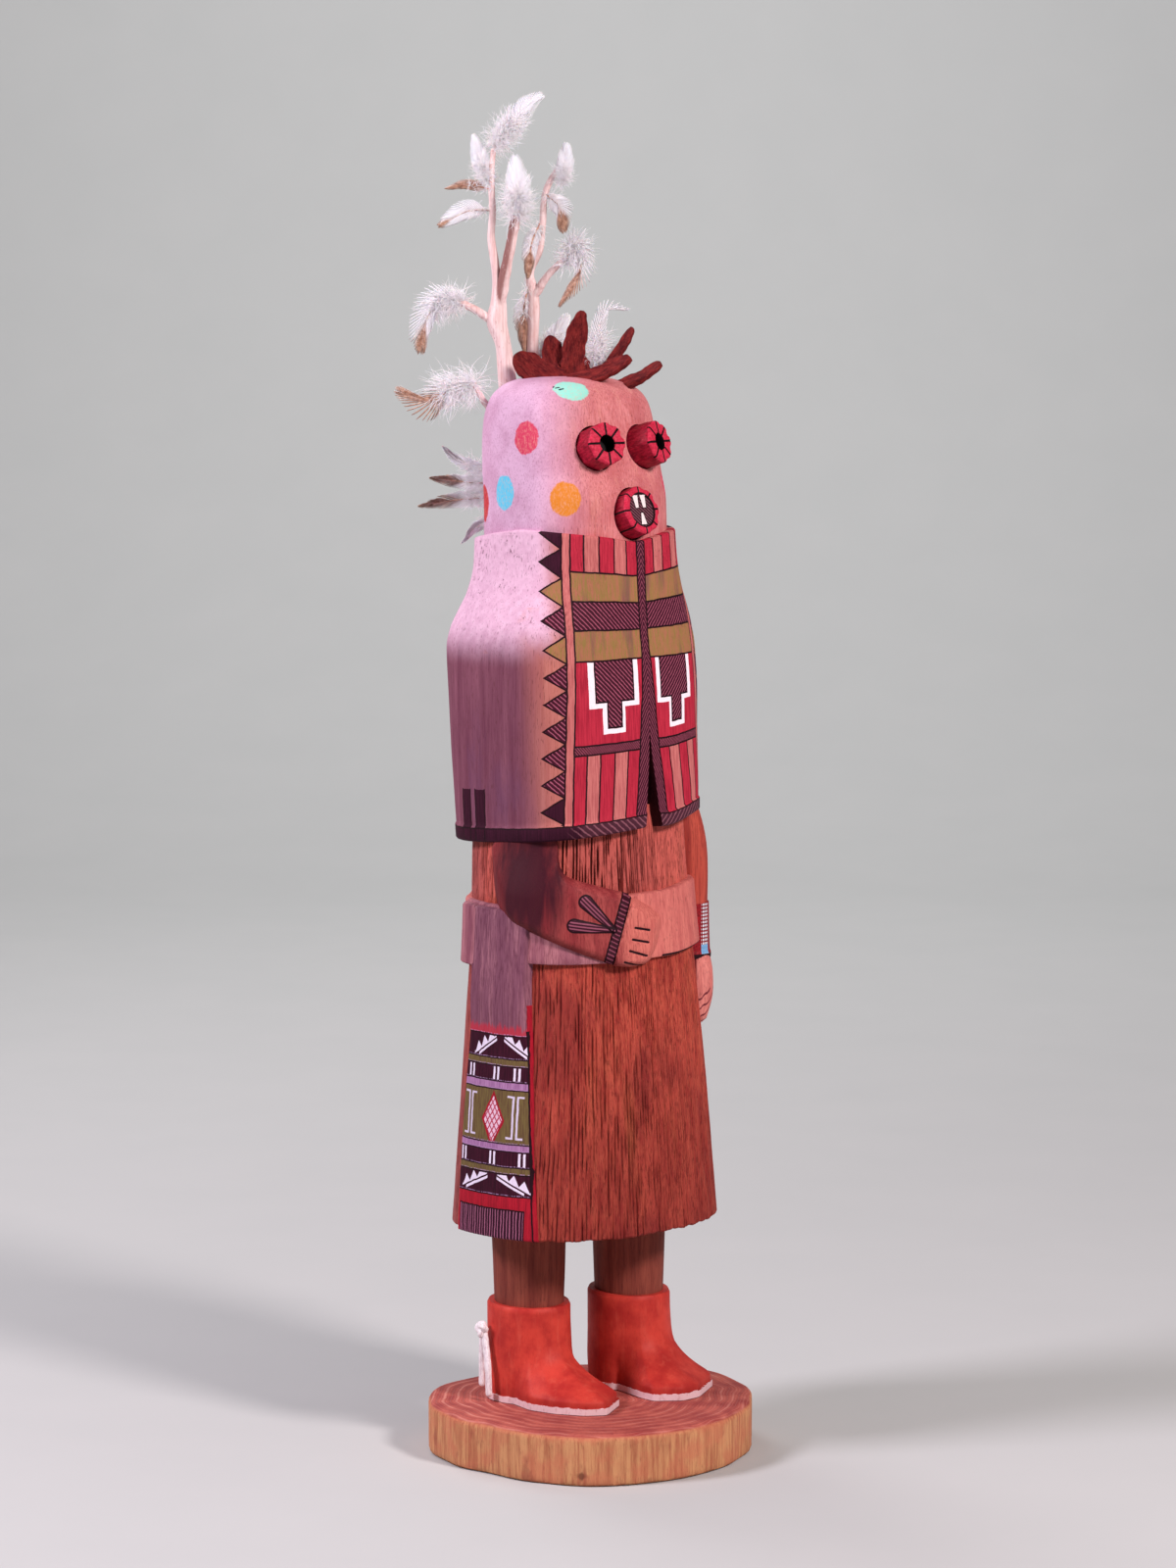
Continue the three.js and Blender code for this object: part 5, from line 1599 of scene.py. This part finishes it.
def tube_piece(name):
    (turn, start), radius, length, kind = TUBES[name]
    end = TUBE_DEPTH + length
    profile = [(radius - 0.2, 0), (radius, 0.4)] + [(radius, z) for z in np.linspace(1.5, end - 1.3, 10)]
    if kind == "eye":
        profile += [(radius - 0.01, end - 0.75), (radius - 0.12, end - 0.3), (radius - 0.4, end)]
        profile += [(r, end) for r in np.linspace(radius - 0.9, 2.75, 6)]
        profile += [(2.5, end - 0.12), (2.35, end - 0.4), (2.35, end - 2), (2.3, end - 4)]
    else:
        profile += [(radius - 0.02, end - 0.75), (radius - 0.15, end - 0.3), (radius - 0.45, end)]
        profile += [(radius - 0.9, end), (radius - 1.4, end)]
        profile += [(4.85, end), (4.72, end - 0.1), (4.68, end - 0.45), (4.5, end - 0.5)]
        profile += [(r, end - 0.5) for r in (3.6, 2.7, 1.8, 0.9, 0.3)]
    profile = np.array(profile)
    sides = 192
    angle = turned(sides)
    level = np.repeat(profile[:, 1][:, None], sides, 1)
    reach = np.repeat(profile[:, 0][:, None], sides, 1)
    spoke = np.abs(((angle * 4 / math.pi + 0.5) % 1) - 0.5) * math.pi / 4
    gap = spoke[None] * reach
    inner = 2.6 if kind == "eye" else 4.75
    line = np.exp(-((gap / 0.24) ** 2)) * (level > end - 2.2) * (reach > inner)
    side_wall = (level < end - 0.5) * (level > 0.2)
    between = np.clip(np.cos(angle * 8 + math.pi), 0, 1)[None]
    flat = math.cos(math.pi / 8) / np.cos(angle % (math.pi / 4) - math.pi / 8)
    facet = 1 - (0.75 if kind == "eye" else 0.5) * (1 - flat)[None] * (reach > inner + 0.4)
    cut = 0.3 + 0.35 * field(np.round(angle * 4 / math.pi) * 3.3, 1.5)[None]
    corner = between * eased((level - end + 1.3) / 1.2) * cut * (reach > radius - 0.6)
    chips = 0.13 * (field(angle[None] * 2.6 + 3, level * 0.6) - 0.5) * side_wall
    reach = reach * facet - chips - corner - line * 0.2 * (level < end - 0.05)
    dents = 0.1 * field(angle[None] * 3, reach) * (level > end - 0.3)
    level = level - line * 0.2 * (level >= end - 0.15) - dents
    ring = np.stack([reach * np.cos(angle), reach * np.sin(angle), level], 2)
    verts, faces = lofted(ring)
    form = Form().add(verts @ turn.T + start, faces, local=verts)
    obj = form.build(name + "_tube", [tube_look(name + "_paint", kind)])
    sharpen(obj, 40)
    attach(obj, ROOT)
    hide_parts(name)


for name in TUBES:
    tube_piece(name)


# The headdress, laid out on the turned plane over the crown. Each petal has its foot, tip, breadth, the way
# its face looks, its thickness, and its widths from foot to tip as shares of the breadth.

TURN = np.stack([RIGHT, AHEAD, UP], 1)


def onto_head(points):
    return np.asarray(points, float) @ TURN.T + UP * CROWN


BROAD = [1.0, 1.05, 0.94, 0.78, 0.5, 0.3]
STICK = [0.5, 0.86, 1, 0.9, 0.8, 0.6]
PETALS = [
    ([-7.6, 2.2, -3.0], [-19.2, 0.5, 6.0], 9.6, [0.2, -1, 0.4], 1.8, BROAD),
    ([-6.6, 6.0, -2.5], [-9.7, 6.4, 11.3], 7.6, [0, -1, 0.2], 1.3, BROAD),
    ([-4.0, 4.6, -2.5], [-0.7, 5, 18.1], 6.4, [0.3, -1, 0], 1.5, [0.7, 1.0, 1.02, 0.86, 0.6, 0.42]),
    ([1.2, 8, -2.5], [13.4, 13.5, 13.2], 4.0, [-0.4, -0.7, 1], 1.2, STICK),
    ([-4.2, 0.2, -1.4], [12.6, -6.4, 5.2], 5.2, [-0.2, -0.8, 0.7], 1.8, [0.8, 1, 1.05, 0.95, 0.75, 0.5]),
    ([6, 4.4, -3.9], [21.2, 3.2, 3.6], 5.8, [-0.3, -0.55, 1], 1.4, [0.8, 1, 1, 0.9, 0.75, 0.55]),
    ([-2.2, 11.6, -2.9], [-3.4, 17.5, 10.5], 8, [0, 1, 0.4], 1.3, BROAD),
]


def petal_piece(number, foot, tip, breadth, face, thickness, widths, look):
    foot = np.array(foot, float)
    run = np.array(tip, float) - foot
    size = np.linalg.norm(run)
    way = run / size
    normal = np.array(face, float)
    normal -= way * (normal @ way)
    normal /= np.linalg.norm(normal)
    across = np.cross(way, normal)
    sides = 44
    angle = turned(sides)
    rings = []
    local = []
    for share in np.linspace(0, 1, 34):
        width = breadth / 2 * float(smooth([0, 0.25, 0.5, 0.75, 0.92, 1], widths, share))
        width *= math.sqrt(max(0.05, 1 - max(0.0, (share - 0.93) / 0.075) ** 2))
        c = np.cos(angle)
        s = np.sin(angle)
        ragged = 0.3 * (field(np.sign(c) * 2 + number * 9, share * 11) - 0.5)
        flat = np.abs(c) ** 0.65 * np.sign(c) * width * (1 + ragged)
        rough = 0.5 * (field(flat * 1.1 + number * 5, share * size / 1.3 + s * 2) - 0.5)
        rough = rough + 0.3 * (field(flat * 3.1 + 9, share * size / 4 + number) - 0.5)
        depth = np.abs(s) ** 0.6 * np.sign(s) * (thickness * (1 - 0.3 * share) + rough) * 0.75
        depth = depth + 0.14 * flat**2 / max(width, 0.5)
        centre = foot + run * share - normal * (size * 0.07 * math.sin(share * math.pi))
        rings.append(centre + across * flat[:, None] + normal * depth[:, None])
        local.append(np.stack([flat, np.full(sides, share * size), depth], 1) + number * 20)
    verts, faces = lofted(np.array(rings))
    local = np.vstack([np.array(local).reshape(-1, 3), local[0].mean(0)[None], local[-1].mean(0)[None]])
    if np.cross(across, normal) @ way < 0:
        faces = [list(reversed(f)) for f in faces]
    obj = Form().add(onto_head(verts), faces, local=local).build(f"petal_{number}_wood", [look])
    sharpen(obj, 38)
    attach(obj, ROOT)
    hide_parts(f"petal_{number}")


petal_material = petal_look()
for number, petal in enumerate(PETALS, 1):
    petal_piece(number, *petal, petal_material)

TWIGS = {
    "twig_main": [
        [[-20.6, 11, -8.5, 2.3], [-21.2, 11, -2.5, 2.3], [-22.4, 11, 8.5, 2.2], [-24.2, 11, 14.9, 2.7],
         [-23.8, 10.6, 20.5, 2.2], [-24.2, 10, 25.5, 1.3], [-25, 10, 32.5, 1.1], [-25.6, 9.6, 38.5, 1],
         [-25.3, 9.4, 45.5, 0.95], [-25.5, 9, 55.5, 0.85], [-25, 9, 62, 0.7]],
        [[-23.6, 10.8, 18.5, 1.8], [-22.6, 9.6, 24.5, 1.6], [-20.9, 8, 32.8, 1.4], [-18.8, 6, 44.1, 1.3]],
        [[-24.2, 11, 14.1, 1.3], [-29.2, 10.6, 17.7, 1.1], [-34, 10, 20.2, 1]],
    ],
    "twig_second": [
        [[-14.3, 14.6, -7.5, 1.7], [-14.3, 15, 7.5, 1.6], [-14.2, 15.4, 21.9, 1.6], [-15.2, 15.6, 28.5, 1.1],
         [-12.4, 16, 34.9, 1], [-11.6, 16, 41.5, 0.95], [-11, 15.6, 49, 0.9],
         [-8.5, 15, 55.2, 0.8], [-5, 14.6, 59.1, 0.7]],
        [[-14.2, 15.2, 21.5, 1.2], [-9.9, 13.6, 27.9, 0.95], [-5.7, 12, 32.1, 0.8]],
    ],
    "twig_stub": [[[-22.8, 7.4, -15, 0.9], [-27.2, 5.8, -7.6, 0.85], [-30.3, 4.6, -2.3, 0.75]]],
}


def twig_piece(name, branches, look):
    obj = None
    for k, branch in enumerate(branches):
        line = spline(branch, 56)
        line[:, 0] += 0.35 * (field(np.arange(56) / 6 + k * 30, 4.5) - 0.5)
        radii = line[:, 3] * (0.96 + 0.16 * field(np.arange(56) / 3.2, k * 7 + 1.5))

        def wobble(level, angle):
            return 1 + 0.12 * (field(angle * 1.6 + k * 9, level / 4) - 0.5)

        sawn = name == "twig_main" and k == 1
        rings = swept(line[:, :3], radii, 20, rounded=not sawn, first=(0, 1, 0), wobble=wobble)
        verts, faces = lofted(rings)
        piece = Form().add(onto_head(verts), faces, local=verts).build(name + "_stick", [look])
        if obj is None:
            obj = piece
        else:
            combine(obj, piece, "UNION")
    local = (read_points(obj.data) - UP * CROWN) @ TURN
    write_values(obj.data, "local", local)
    bark = np.zeros(len(local))
    if name == "twig_main":
        stem = spline(branches[1], 60)[6:, :3]
        gap = np.linalg.norm(local[:, None] - stem[None], axis=2)
        axis_x = stem[gap.argmin(1), 0]
        left_half = eased((axis_x + 0.6 - local[:, 0]) / 0.8)
        bark = eased((2.1 - gap.min(1)) / 0.4) * left_half * (local[:, 2] > 19)
    write_values(obj.data, "bark", bark)
    sharpen(obj, 50)
    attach(obj, ROOT)
    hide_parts(name)


twig_material = twig_look()
for name, branches in TWIGS.items():
    twig_piece(name, branches, twig_material)


# Feathers: a quill, barbs on both sides of it that cling in small groups, and loose down round its foot.
# Each one has its bend points on the turned plane, its breadth, its share of brown, and how many strands
# of down it has and how long they are.

FEATHERS = {
    "feather_top": ([[-24.6, 8.8, 63.5], [-21, 8.6, 67.9], [-16.6, 8, 72.9], [-13.4, 7.6, 75.4]],
                    11, 0.05, 260, 6.5),
    "feather_top_left": ([[-26.6, 8.8, 53.1], [-28.4, 8.4, 58.5], [-30, 8, 64.5]], 8, 0.0, 200, 4.2),
    "feather_upper_left": ([[-26.3, 9, 51.4], [-32, 8.6, 52.5], [-37.6, 8.2, 51.6]], 4.6, 1.0, 20, 3),
    "feather_pointed": ([[-26.2, 9.2, 45.5], [-32, 8.6, 45.3], [-38.6, 7.8, 42.1]], 8.5, 0.35, 30, 3.5),
    "feather_centre": ([[-18.8, 5.8, 43.9], [-18.4, 5.2, 50.5], [-18.8, 5.4, 58.1]], 11, 0.0, 320, 7),
    "feather_right_tip": ([[-6.6, 14.2, 52.9], [-5.6, 12.6, 57.9], [-5.2, 12.2, 62.3]], 7.5, 0.1, 150, 4),
    "feather_right": ([[-10.7, 15, 50.1], [-7.4, 14, 46.9], [-6, 13.6, 41.5]], 8.5, 0.6, 60, 4),
    "feather_hanging": ([[-12.4, 14.5, 41.9], [-14.6, 13.2, 36.5], [-15.6, 12.6, 28.1]], 7, 0.6, 40, 4),
    "feather_fork": ([[-5.4, 11.3, 31.3], [-2.4, 10.4, 36.5], [-1, 9.6, 29.5], [-6.2, 9.4, 20.5]],
                     9.5, 0.6, 260, 6),
    "feather_middle": ([[-15.8, 14.8, 24.1], [-17, 14.6, 16.5], [-16.6, 14.4, 7.5]], 7.5, 0.75, 60, 4),
    "feather_rear": ([[-12.2, 16.4, 5.5], [-9, 18.4, 9.9], [-5.4, 19.6, 15.5]], 8.5, 0.0, 120, 5),
    "feather_crown": ([[2.6, 15, -2.9], [3.4, 16, 8.5], [5.4, 16.4, 17.5], [11.4, 16.4, 18.5]],
                      8, 0.1, 300, 7.5),
    "feather_branch": ([[-33.8, 9.8, 20.6], [-39.6, 9.2, 20.5], [-43.4, 8.8, 15.9], [-45, 8.6, 8.9]],
                       12.5, 0.45, 300, 7),
    "feather_stub": ([[-30.4, 4.4, -1.9], [-36.6, 3.8, -3.4], [-42, 3, -6.6], [-49, 2.4, -4.7]],
                     13.5, 0.75, 220, 9),
}
NAPE_HEIGHT = COLLAR + 12
NAPE_TIPS = [
    (-15.6, 38.6, 11.4, 6, 0.15), (-18, 40.6, 3.2, 7.5, 0.6),
    (-19.6, 43.4, -4.4, 8.5, 0.6), (-12.6, 34.6, -14.4, 6, 0.1),
    (13.5, 40, 9, 6.5, 0.3), (17.5, 42, -0.4, 8, 0.6), (10.6, 36, -12.6, 6, 0.2),
]
NAPE_DOWN = (90, 5)


def strand(start, way, curl, size, width, steps):
    """One barb: a thin strip that bends as it goes, and its widths."""
    heading = np.array(way, float)
    path = [np.array(start, float)]
    for step in range(steps):
        heading = heading + curl * (0.4 + 1.2 * step / steps)
        heading = heading / math.sqrt(heading @ heading)
        path.append(path[-1] + heading * (size / steps))
    return np.array(path), width * (1 - np.linspace(0, 1, steps + 1) ** 3 * 0.75)


def feather_form(rng, vane, breadth, brown, down, down_length, normal):
    line = spline(vane, 30)
    ways, normals, across = frames(line, normal)
    total = np.linalg.norm(np.diff(line, axis=0), axis=1).sum()
    form = Form()

    def lay(path, radii, flat, first, tone, corners=3):
        verts, faces = lofted(swept(path, radii, corners, flat, first, rounded=False))
        share = np.append(np.repeat(np.linspace(0, 1, len(path)), corners), [0, 1])
        form.add(verts, faces, tone=np.full(len(verts), tone), along=share)

    lay(line, np.linspace(0.34, 0.08, len(line)), 1.0, normal, 0.3 + 0.7 * brown, 6)
    pairs = int(total / 0.17)
    seed = rng.random() * 90
    for k in range(pairs * 2):
        share = 0.1 + 0.9 * (k // 2 + 0.5) / pairs
        i = min(int(share * (len(line) - 1)), len(line) - 1)
        hand = 1 if k % 2 else -1
        group = (k // 2) // 11
        sway = float(field(group * 3.7 + hand * 40, seed)) - 0.5
        lean = math.radians(56 - 54 * share**1.5 + sway * 8 * (1 - share))
        lift = 0.14 + sway * 0.12
        heading = ways[i] * math.cos(lean) + across[i] * hand * math.sin(lean) + normals[i] * lift
        shape = float(smooth([0, 0.15, 0.4, 0.75, 0.93, 1], [0.4, 0.85, 1, 0.92, 0.66, 0.4], share))
        reach = breadth * 0.56 * shape * (1 + 0.14 * sway + rng.normal(0, 0.025))
        curl = ways[i] * 0.1 - normals[i] * 0.11
        path, radii = strand(line[i], heading, curl, reach, 0.21, 6)
        tone = np.clip((share - (1 - brown)) * 3.2 + rng.normal(0, 0.04), 0, 1)
        lay(path, radii, 0.28, normals[i], tone)
    for _ in range(int(down * 2.4)):
        i = int(rng.integers(0, 15))
        turn = rng.uniform(-0.45 * math.pi, 0.45 * math.pi)
        hand = rng.choice((-1, 1))
        out = across[i] * hand * math.cos(turn) + ways[i] * math.sin(turn) + normals[i] * rng.normal(0, 0.5)
        out /= np.linalg.norm(out)
        start = line[i] + rng.normal(0, 0.35, 3)
        curl = rng.normal(0, 0.2, 3) + ways[i] * 0.16 + np.array([0, 0, -0.1])
        size = down_length * rng.uniform(0.45, 1.12)
        path, radii = strand(start, out, curl, size, rng.uniform(0.05, 0.09), 8)
        lay(path, radii, 0.8, normals[i], max(0.0, 0.25 * brown * rng.random()))
    return form


def feather_piece(name, form, look, convert):
    form.verts = [convert(verts) for verts in form.verts]
    obj = form.build(name + "_down", [look])
    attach(obj, ROOT)
    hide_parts(name)


feather_material = feather_look()
for order, (name, facts) in enumerate(FEATHERS.items()):
    rng = np.random.default_rng(100 + order)
    feather_piece(name, feather_form(rng, *facts, (0, -1, 0)), feather_material, onto_head)

for order, (x, back, rise, breadth, brown) in enumerate(NAPE_TIPS):
    rng = np.random.default_rng(200 + order)
    root = np.array([(order - 3) * 2.8, 26.8, NAPE_HEIGHT + rise * 0.4])
    tip = np.array([x, back, NAPE_HEIGHT + rise])
    bend = (root + tip) / 2 + np.array([0, 3.4, 0])
    form = feather_form(rng, [root, bend, tip], breadth, brown, *NAPE_DOWN, (0.45, 1, 0.3))
    feather_piece(f"feather_nape_{order + 1}", form, feather_material, lambda verts: verts)


# The boots' knotted thongs


def tie_piece(name, leg, bearing, look):
    reach = BOOT_RADIUS + 1.4
    angle = math.radians(bearing)

    def spot(turn, z, out=0.0):
        bend = angle + math.radians(turn)
        return [leg[0] + (reach + out) * math.cos(bend), leg[1] + (reach + out) * math.sin(bend), z]

    outward = np.array([math.cos(angle), math.sin(angle), 0])
    form = Form()
    for turn, end, out in ((-9, 4.2, 0.4), (14, 2.4, 0.8)):
        bends = [spot(0, 21.2, 0.7), spot(turn * 0.5, 15, 0.6), spot(turn * 0.9, 9, out)]
        line = spline([*bends, spot(turn, end, out)], 34)
        line[:, :2] += 0.12 * (field(np.arange(34) / 3.5, turn + 20)[:, None] - 0.5)
        radii = 1.22 + 0.14 * (field(np.arange(34) / 2.6, turn + 2) - 0.5)
        form.add(*lofted(swept(line, radii, 14, 0.72, outward)[::-1]))
    centre = np.array(spot(0, 20, 1.2))
    t = turned(90)
    across = np.array([-math.sin(angle), math.cos(angle), 0])
    loop = (
        centre
        + across * ((np.sin(t) + 2 * np.sin(2 * t)) * 0.58)[:, None]
        + UP * ((np.cos(t) - 2 * np.cos(2 * t)) * 0.56)[:, None]
        + outward * (-np.sin(3 * t) * 0.55)[:, None]
    )
    closed = np.vstack([loop, loop[:1]])
    form.add(*lofted(swept(closed, np.full(len(closed), 0.9), 12)))
    obj = form.build(name + "_thong", [look])
    sharpen(obj, 60)
    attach(obj, ROOT)
    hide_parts(name)


thong_material = thong_look()
tie_piece("boot_tie_right", RIGHT_LEG, 156, thong_material)
tie_piece("boot_tie_left", LEFT_LEG, 30, thong_material)


# The log slice

RADII = [50.8, 47.5, 44.5, 43.0, 43.8, 46.2, 44.4, 41.8, 38.8, 40.2, 41.9, 41.6, 42.0, 43.0, 45.2, 48.6]
SLICE = 14.0


def slice_radius(angle):
    place = angle / (2 * math.pi) * len(RADII) % len(RADII)
    k = np.floor(place).astype(int)
    share = (1 - np.cos((place - k) * math.pi)) / 2
    table = np.array(RADII)
    return table[k % len(RADII)] * (1 - share) + table[(k + 1) % len(RADII)] * share


def base_piece():
    angle = turned(260)
    outer = slice_radius(angle)
    steps = [(0, 6.0), (0, 0.9), (0.25, 0.35), (0.9, 0), *[(z, 0) for z in np.linspace(2, SLICE - 2, 12)]]
    bevel = ((1.5, 0.08), (1.0, 0.35), (0.55, 0.75), (0.2, 1.3), (0, 2.0))
    steps += [(SLICE - drop, inset) for drop, inset in bevel]
    rings = []
    ring_value = []
    top_value = []
    for z, inset in steps:
        radius = outer - inset
        uneven = 0.35 * (field(angle * 16, z / 9) - 0.5) * (0.8 < z < SLICE - 1)
        radius = radius + np.minimum(uneven, 0)
        rings.append(np.stack([radius * np.cos(angle), radius * np.sin(angle), np.full(260, z)], 1))
        ring_value.append(radius / outer)
        top_value.append(np.full(260, 1.0 if z > SLICE - 0.6 else 0.0))
    for share in np.linspace(0.94, 0.02, 40):
        radius = (outer - 2) * share
        rings.append(np.stack([radius * np.cos(angle), radius * np.sin(angle), np.full(260, SLICE)], 1))
        ring_value.append(np.full(260, share * 0.955))
        top_value.append(np.ones(260))
    verts, faces = lofted(np.array(rings))
    ring = np.concatenate([np.array(ring_value).ravel(), [0.9, 0]])
    top = np.concatenate([np.array(top_value).ravel(), [0, 1]])
    obj = Form().add(verts, faces, ring=ring, top=top).build("log_slice", [base_look()], np.zeros(3))
    sharpen(obj, 40)
    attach(obj, ROOT)
    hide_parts("base")


base_piece()


# Floor, camera and light


def floor_piece():
    look = Look("floor_grey", 0.85)
    look.colour(look.mix(look.noise((0.02, 0.02, 0.02), 3), (0.5, 0.51, 0.505, 1), (0.53, 0.535, 0.53, 1)))
    bend = [[1.2 + 0.8 * math.sin(a), 0.8 - 0.8 * math.cos(a)] for a in np.linspace(0, math.pi / 2, 40)]
    curve = [[-2.4, 0.0], *bend, [2.0, 2.0]]
    verts = []
    faces = []
    for k, (along, height) in enumerate(curve):
        for hand in (-3, 3):
            verts.append((AHEAD * along + RIGHT * hand + UP * (height - 0.0002)).tolist())
        if k:
            faces.append([2 * k - 2, 2 * k - 1, 2 * k + 1, 2 * k])
    mesh = bpy.data.meshes.new("floor")
    mesh.from_pydata(verts, [], faces)
    mesh.shade_smooth()
    mesh.materials.append(look.material)
    obj = bpy.data.objects.new("floor", mesh)
    bpy.context.scene.collection.objects.link(obj)


floor_piece()


def aimed(obj, at, towards):
    obj.location = at
    way = Vector(towards) - Vector(at)
    obj.rotation_euler = way.to_track_quat("-Z", "Y").to_euler()


def lamp(name, at, size, power, tint, towards=(0, 0, 0.2)):
    data = bpy.data.lights.new(name, "AREA")
    data.shape = "DISK"
    data.size = size
    data.energy = power
    data.color = tint
    obj = bpy.data.objects.new(name, data)
    bpy.context.scene.collection.objects.link(obj)
    aimed(obj, at, towards)


camera_data = bpy.data.cameras.new("camera")
camera_data.lens = 109.1
camera_data.sensor_width = 36
camera = bpy.data.objects.new("camera", camera_data)
bpy.context.scene.collection.objects.link(camera)
view_from = np.array([-0.9461, -0.8819, 0.324])
pitch = math.radians(6.1)
aimed(camera, view_from, view_from + AHEAD * math.cos(pitch) - UP * math.sin(pitch))
bpy.context.scene.camera = camera

lamp("key", -AHEAD * 0.62 + RIGHT * 0.62 + UP * 0.72, 0.2, 10.2, (1.0, 0.9, 0.9))
lamp("side", -AHEAD * 0.3 - RIGHT * 0.8 + UP * 0.75, 0.3, 9.6, (0.98, 0.9, 1.0))
lamp("back", AHEAD * 0.6 - RIGHT * 0.35 + UP * 0.75, 0.4, 2.4, (1.0, 0.95, 0.97))
lamp("shaded_wall", AHEAD * 1.0 + UP * 1.1, 0.8, 9.0, (1.0, 1.0, 1.0), AHEAD * 1.9 + UP * 0.3)

world = bpy.data.worlds.new("room")
world.use_nodes = True
background = world.node_tree.nodes["Background"]
background.inputs["Color"].default_value = (0.92, 0.9, 0.92, 1)
background.inputs["Strength"].default_value = 0.2
bpy.context.scene.world = world
bpy.context.scene.view_settings.view_transform = "Standard"
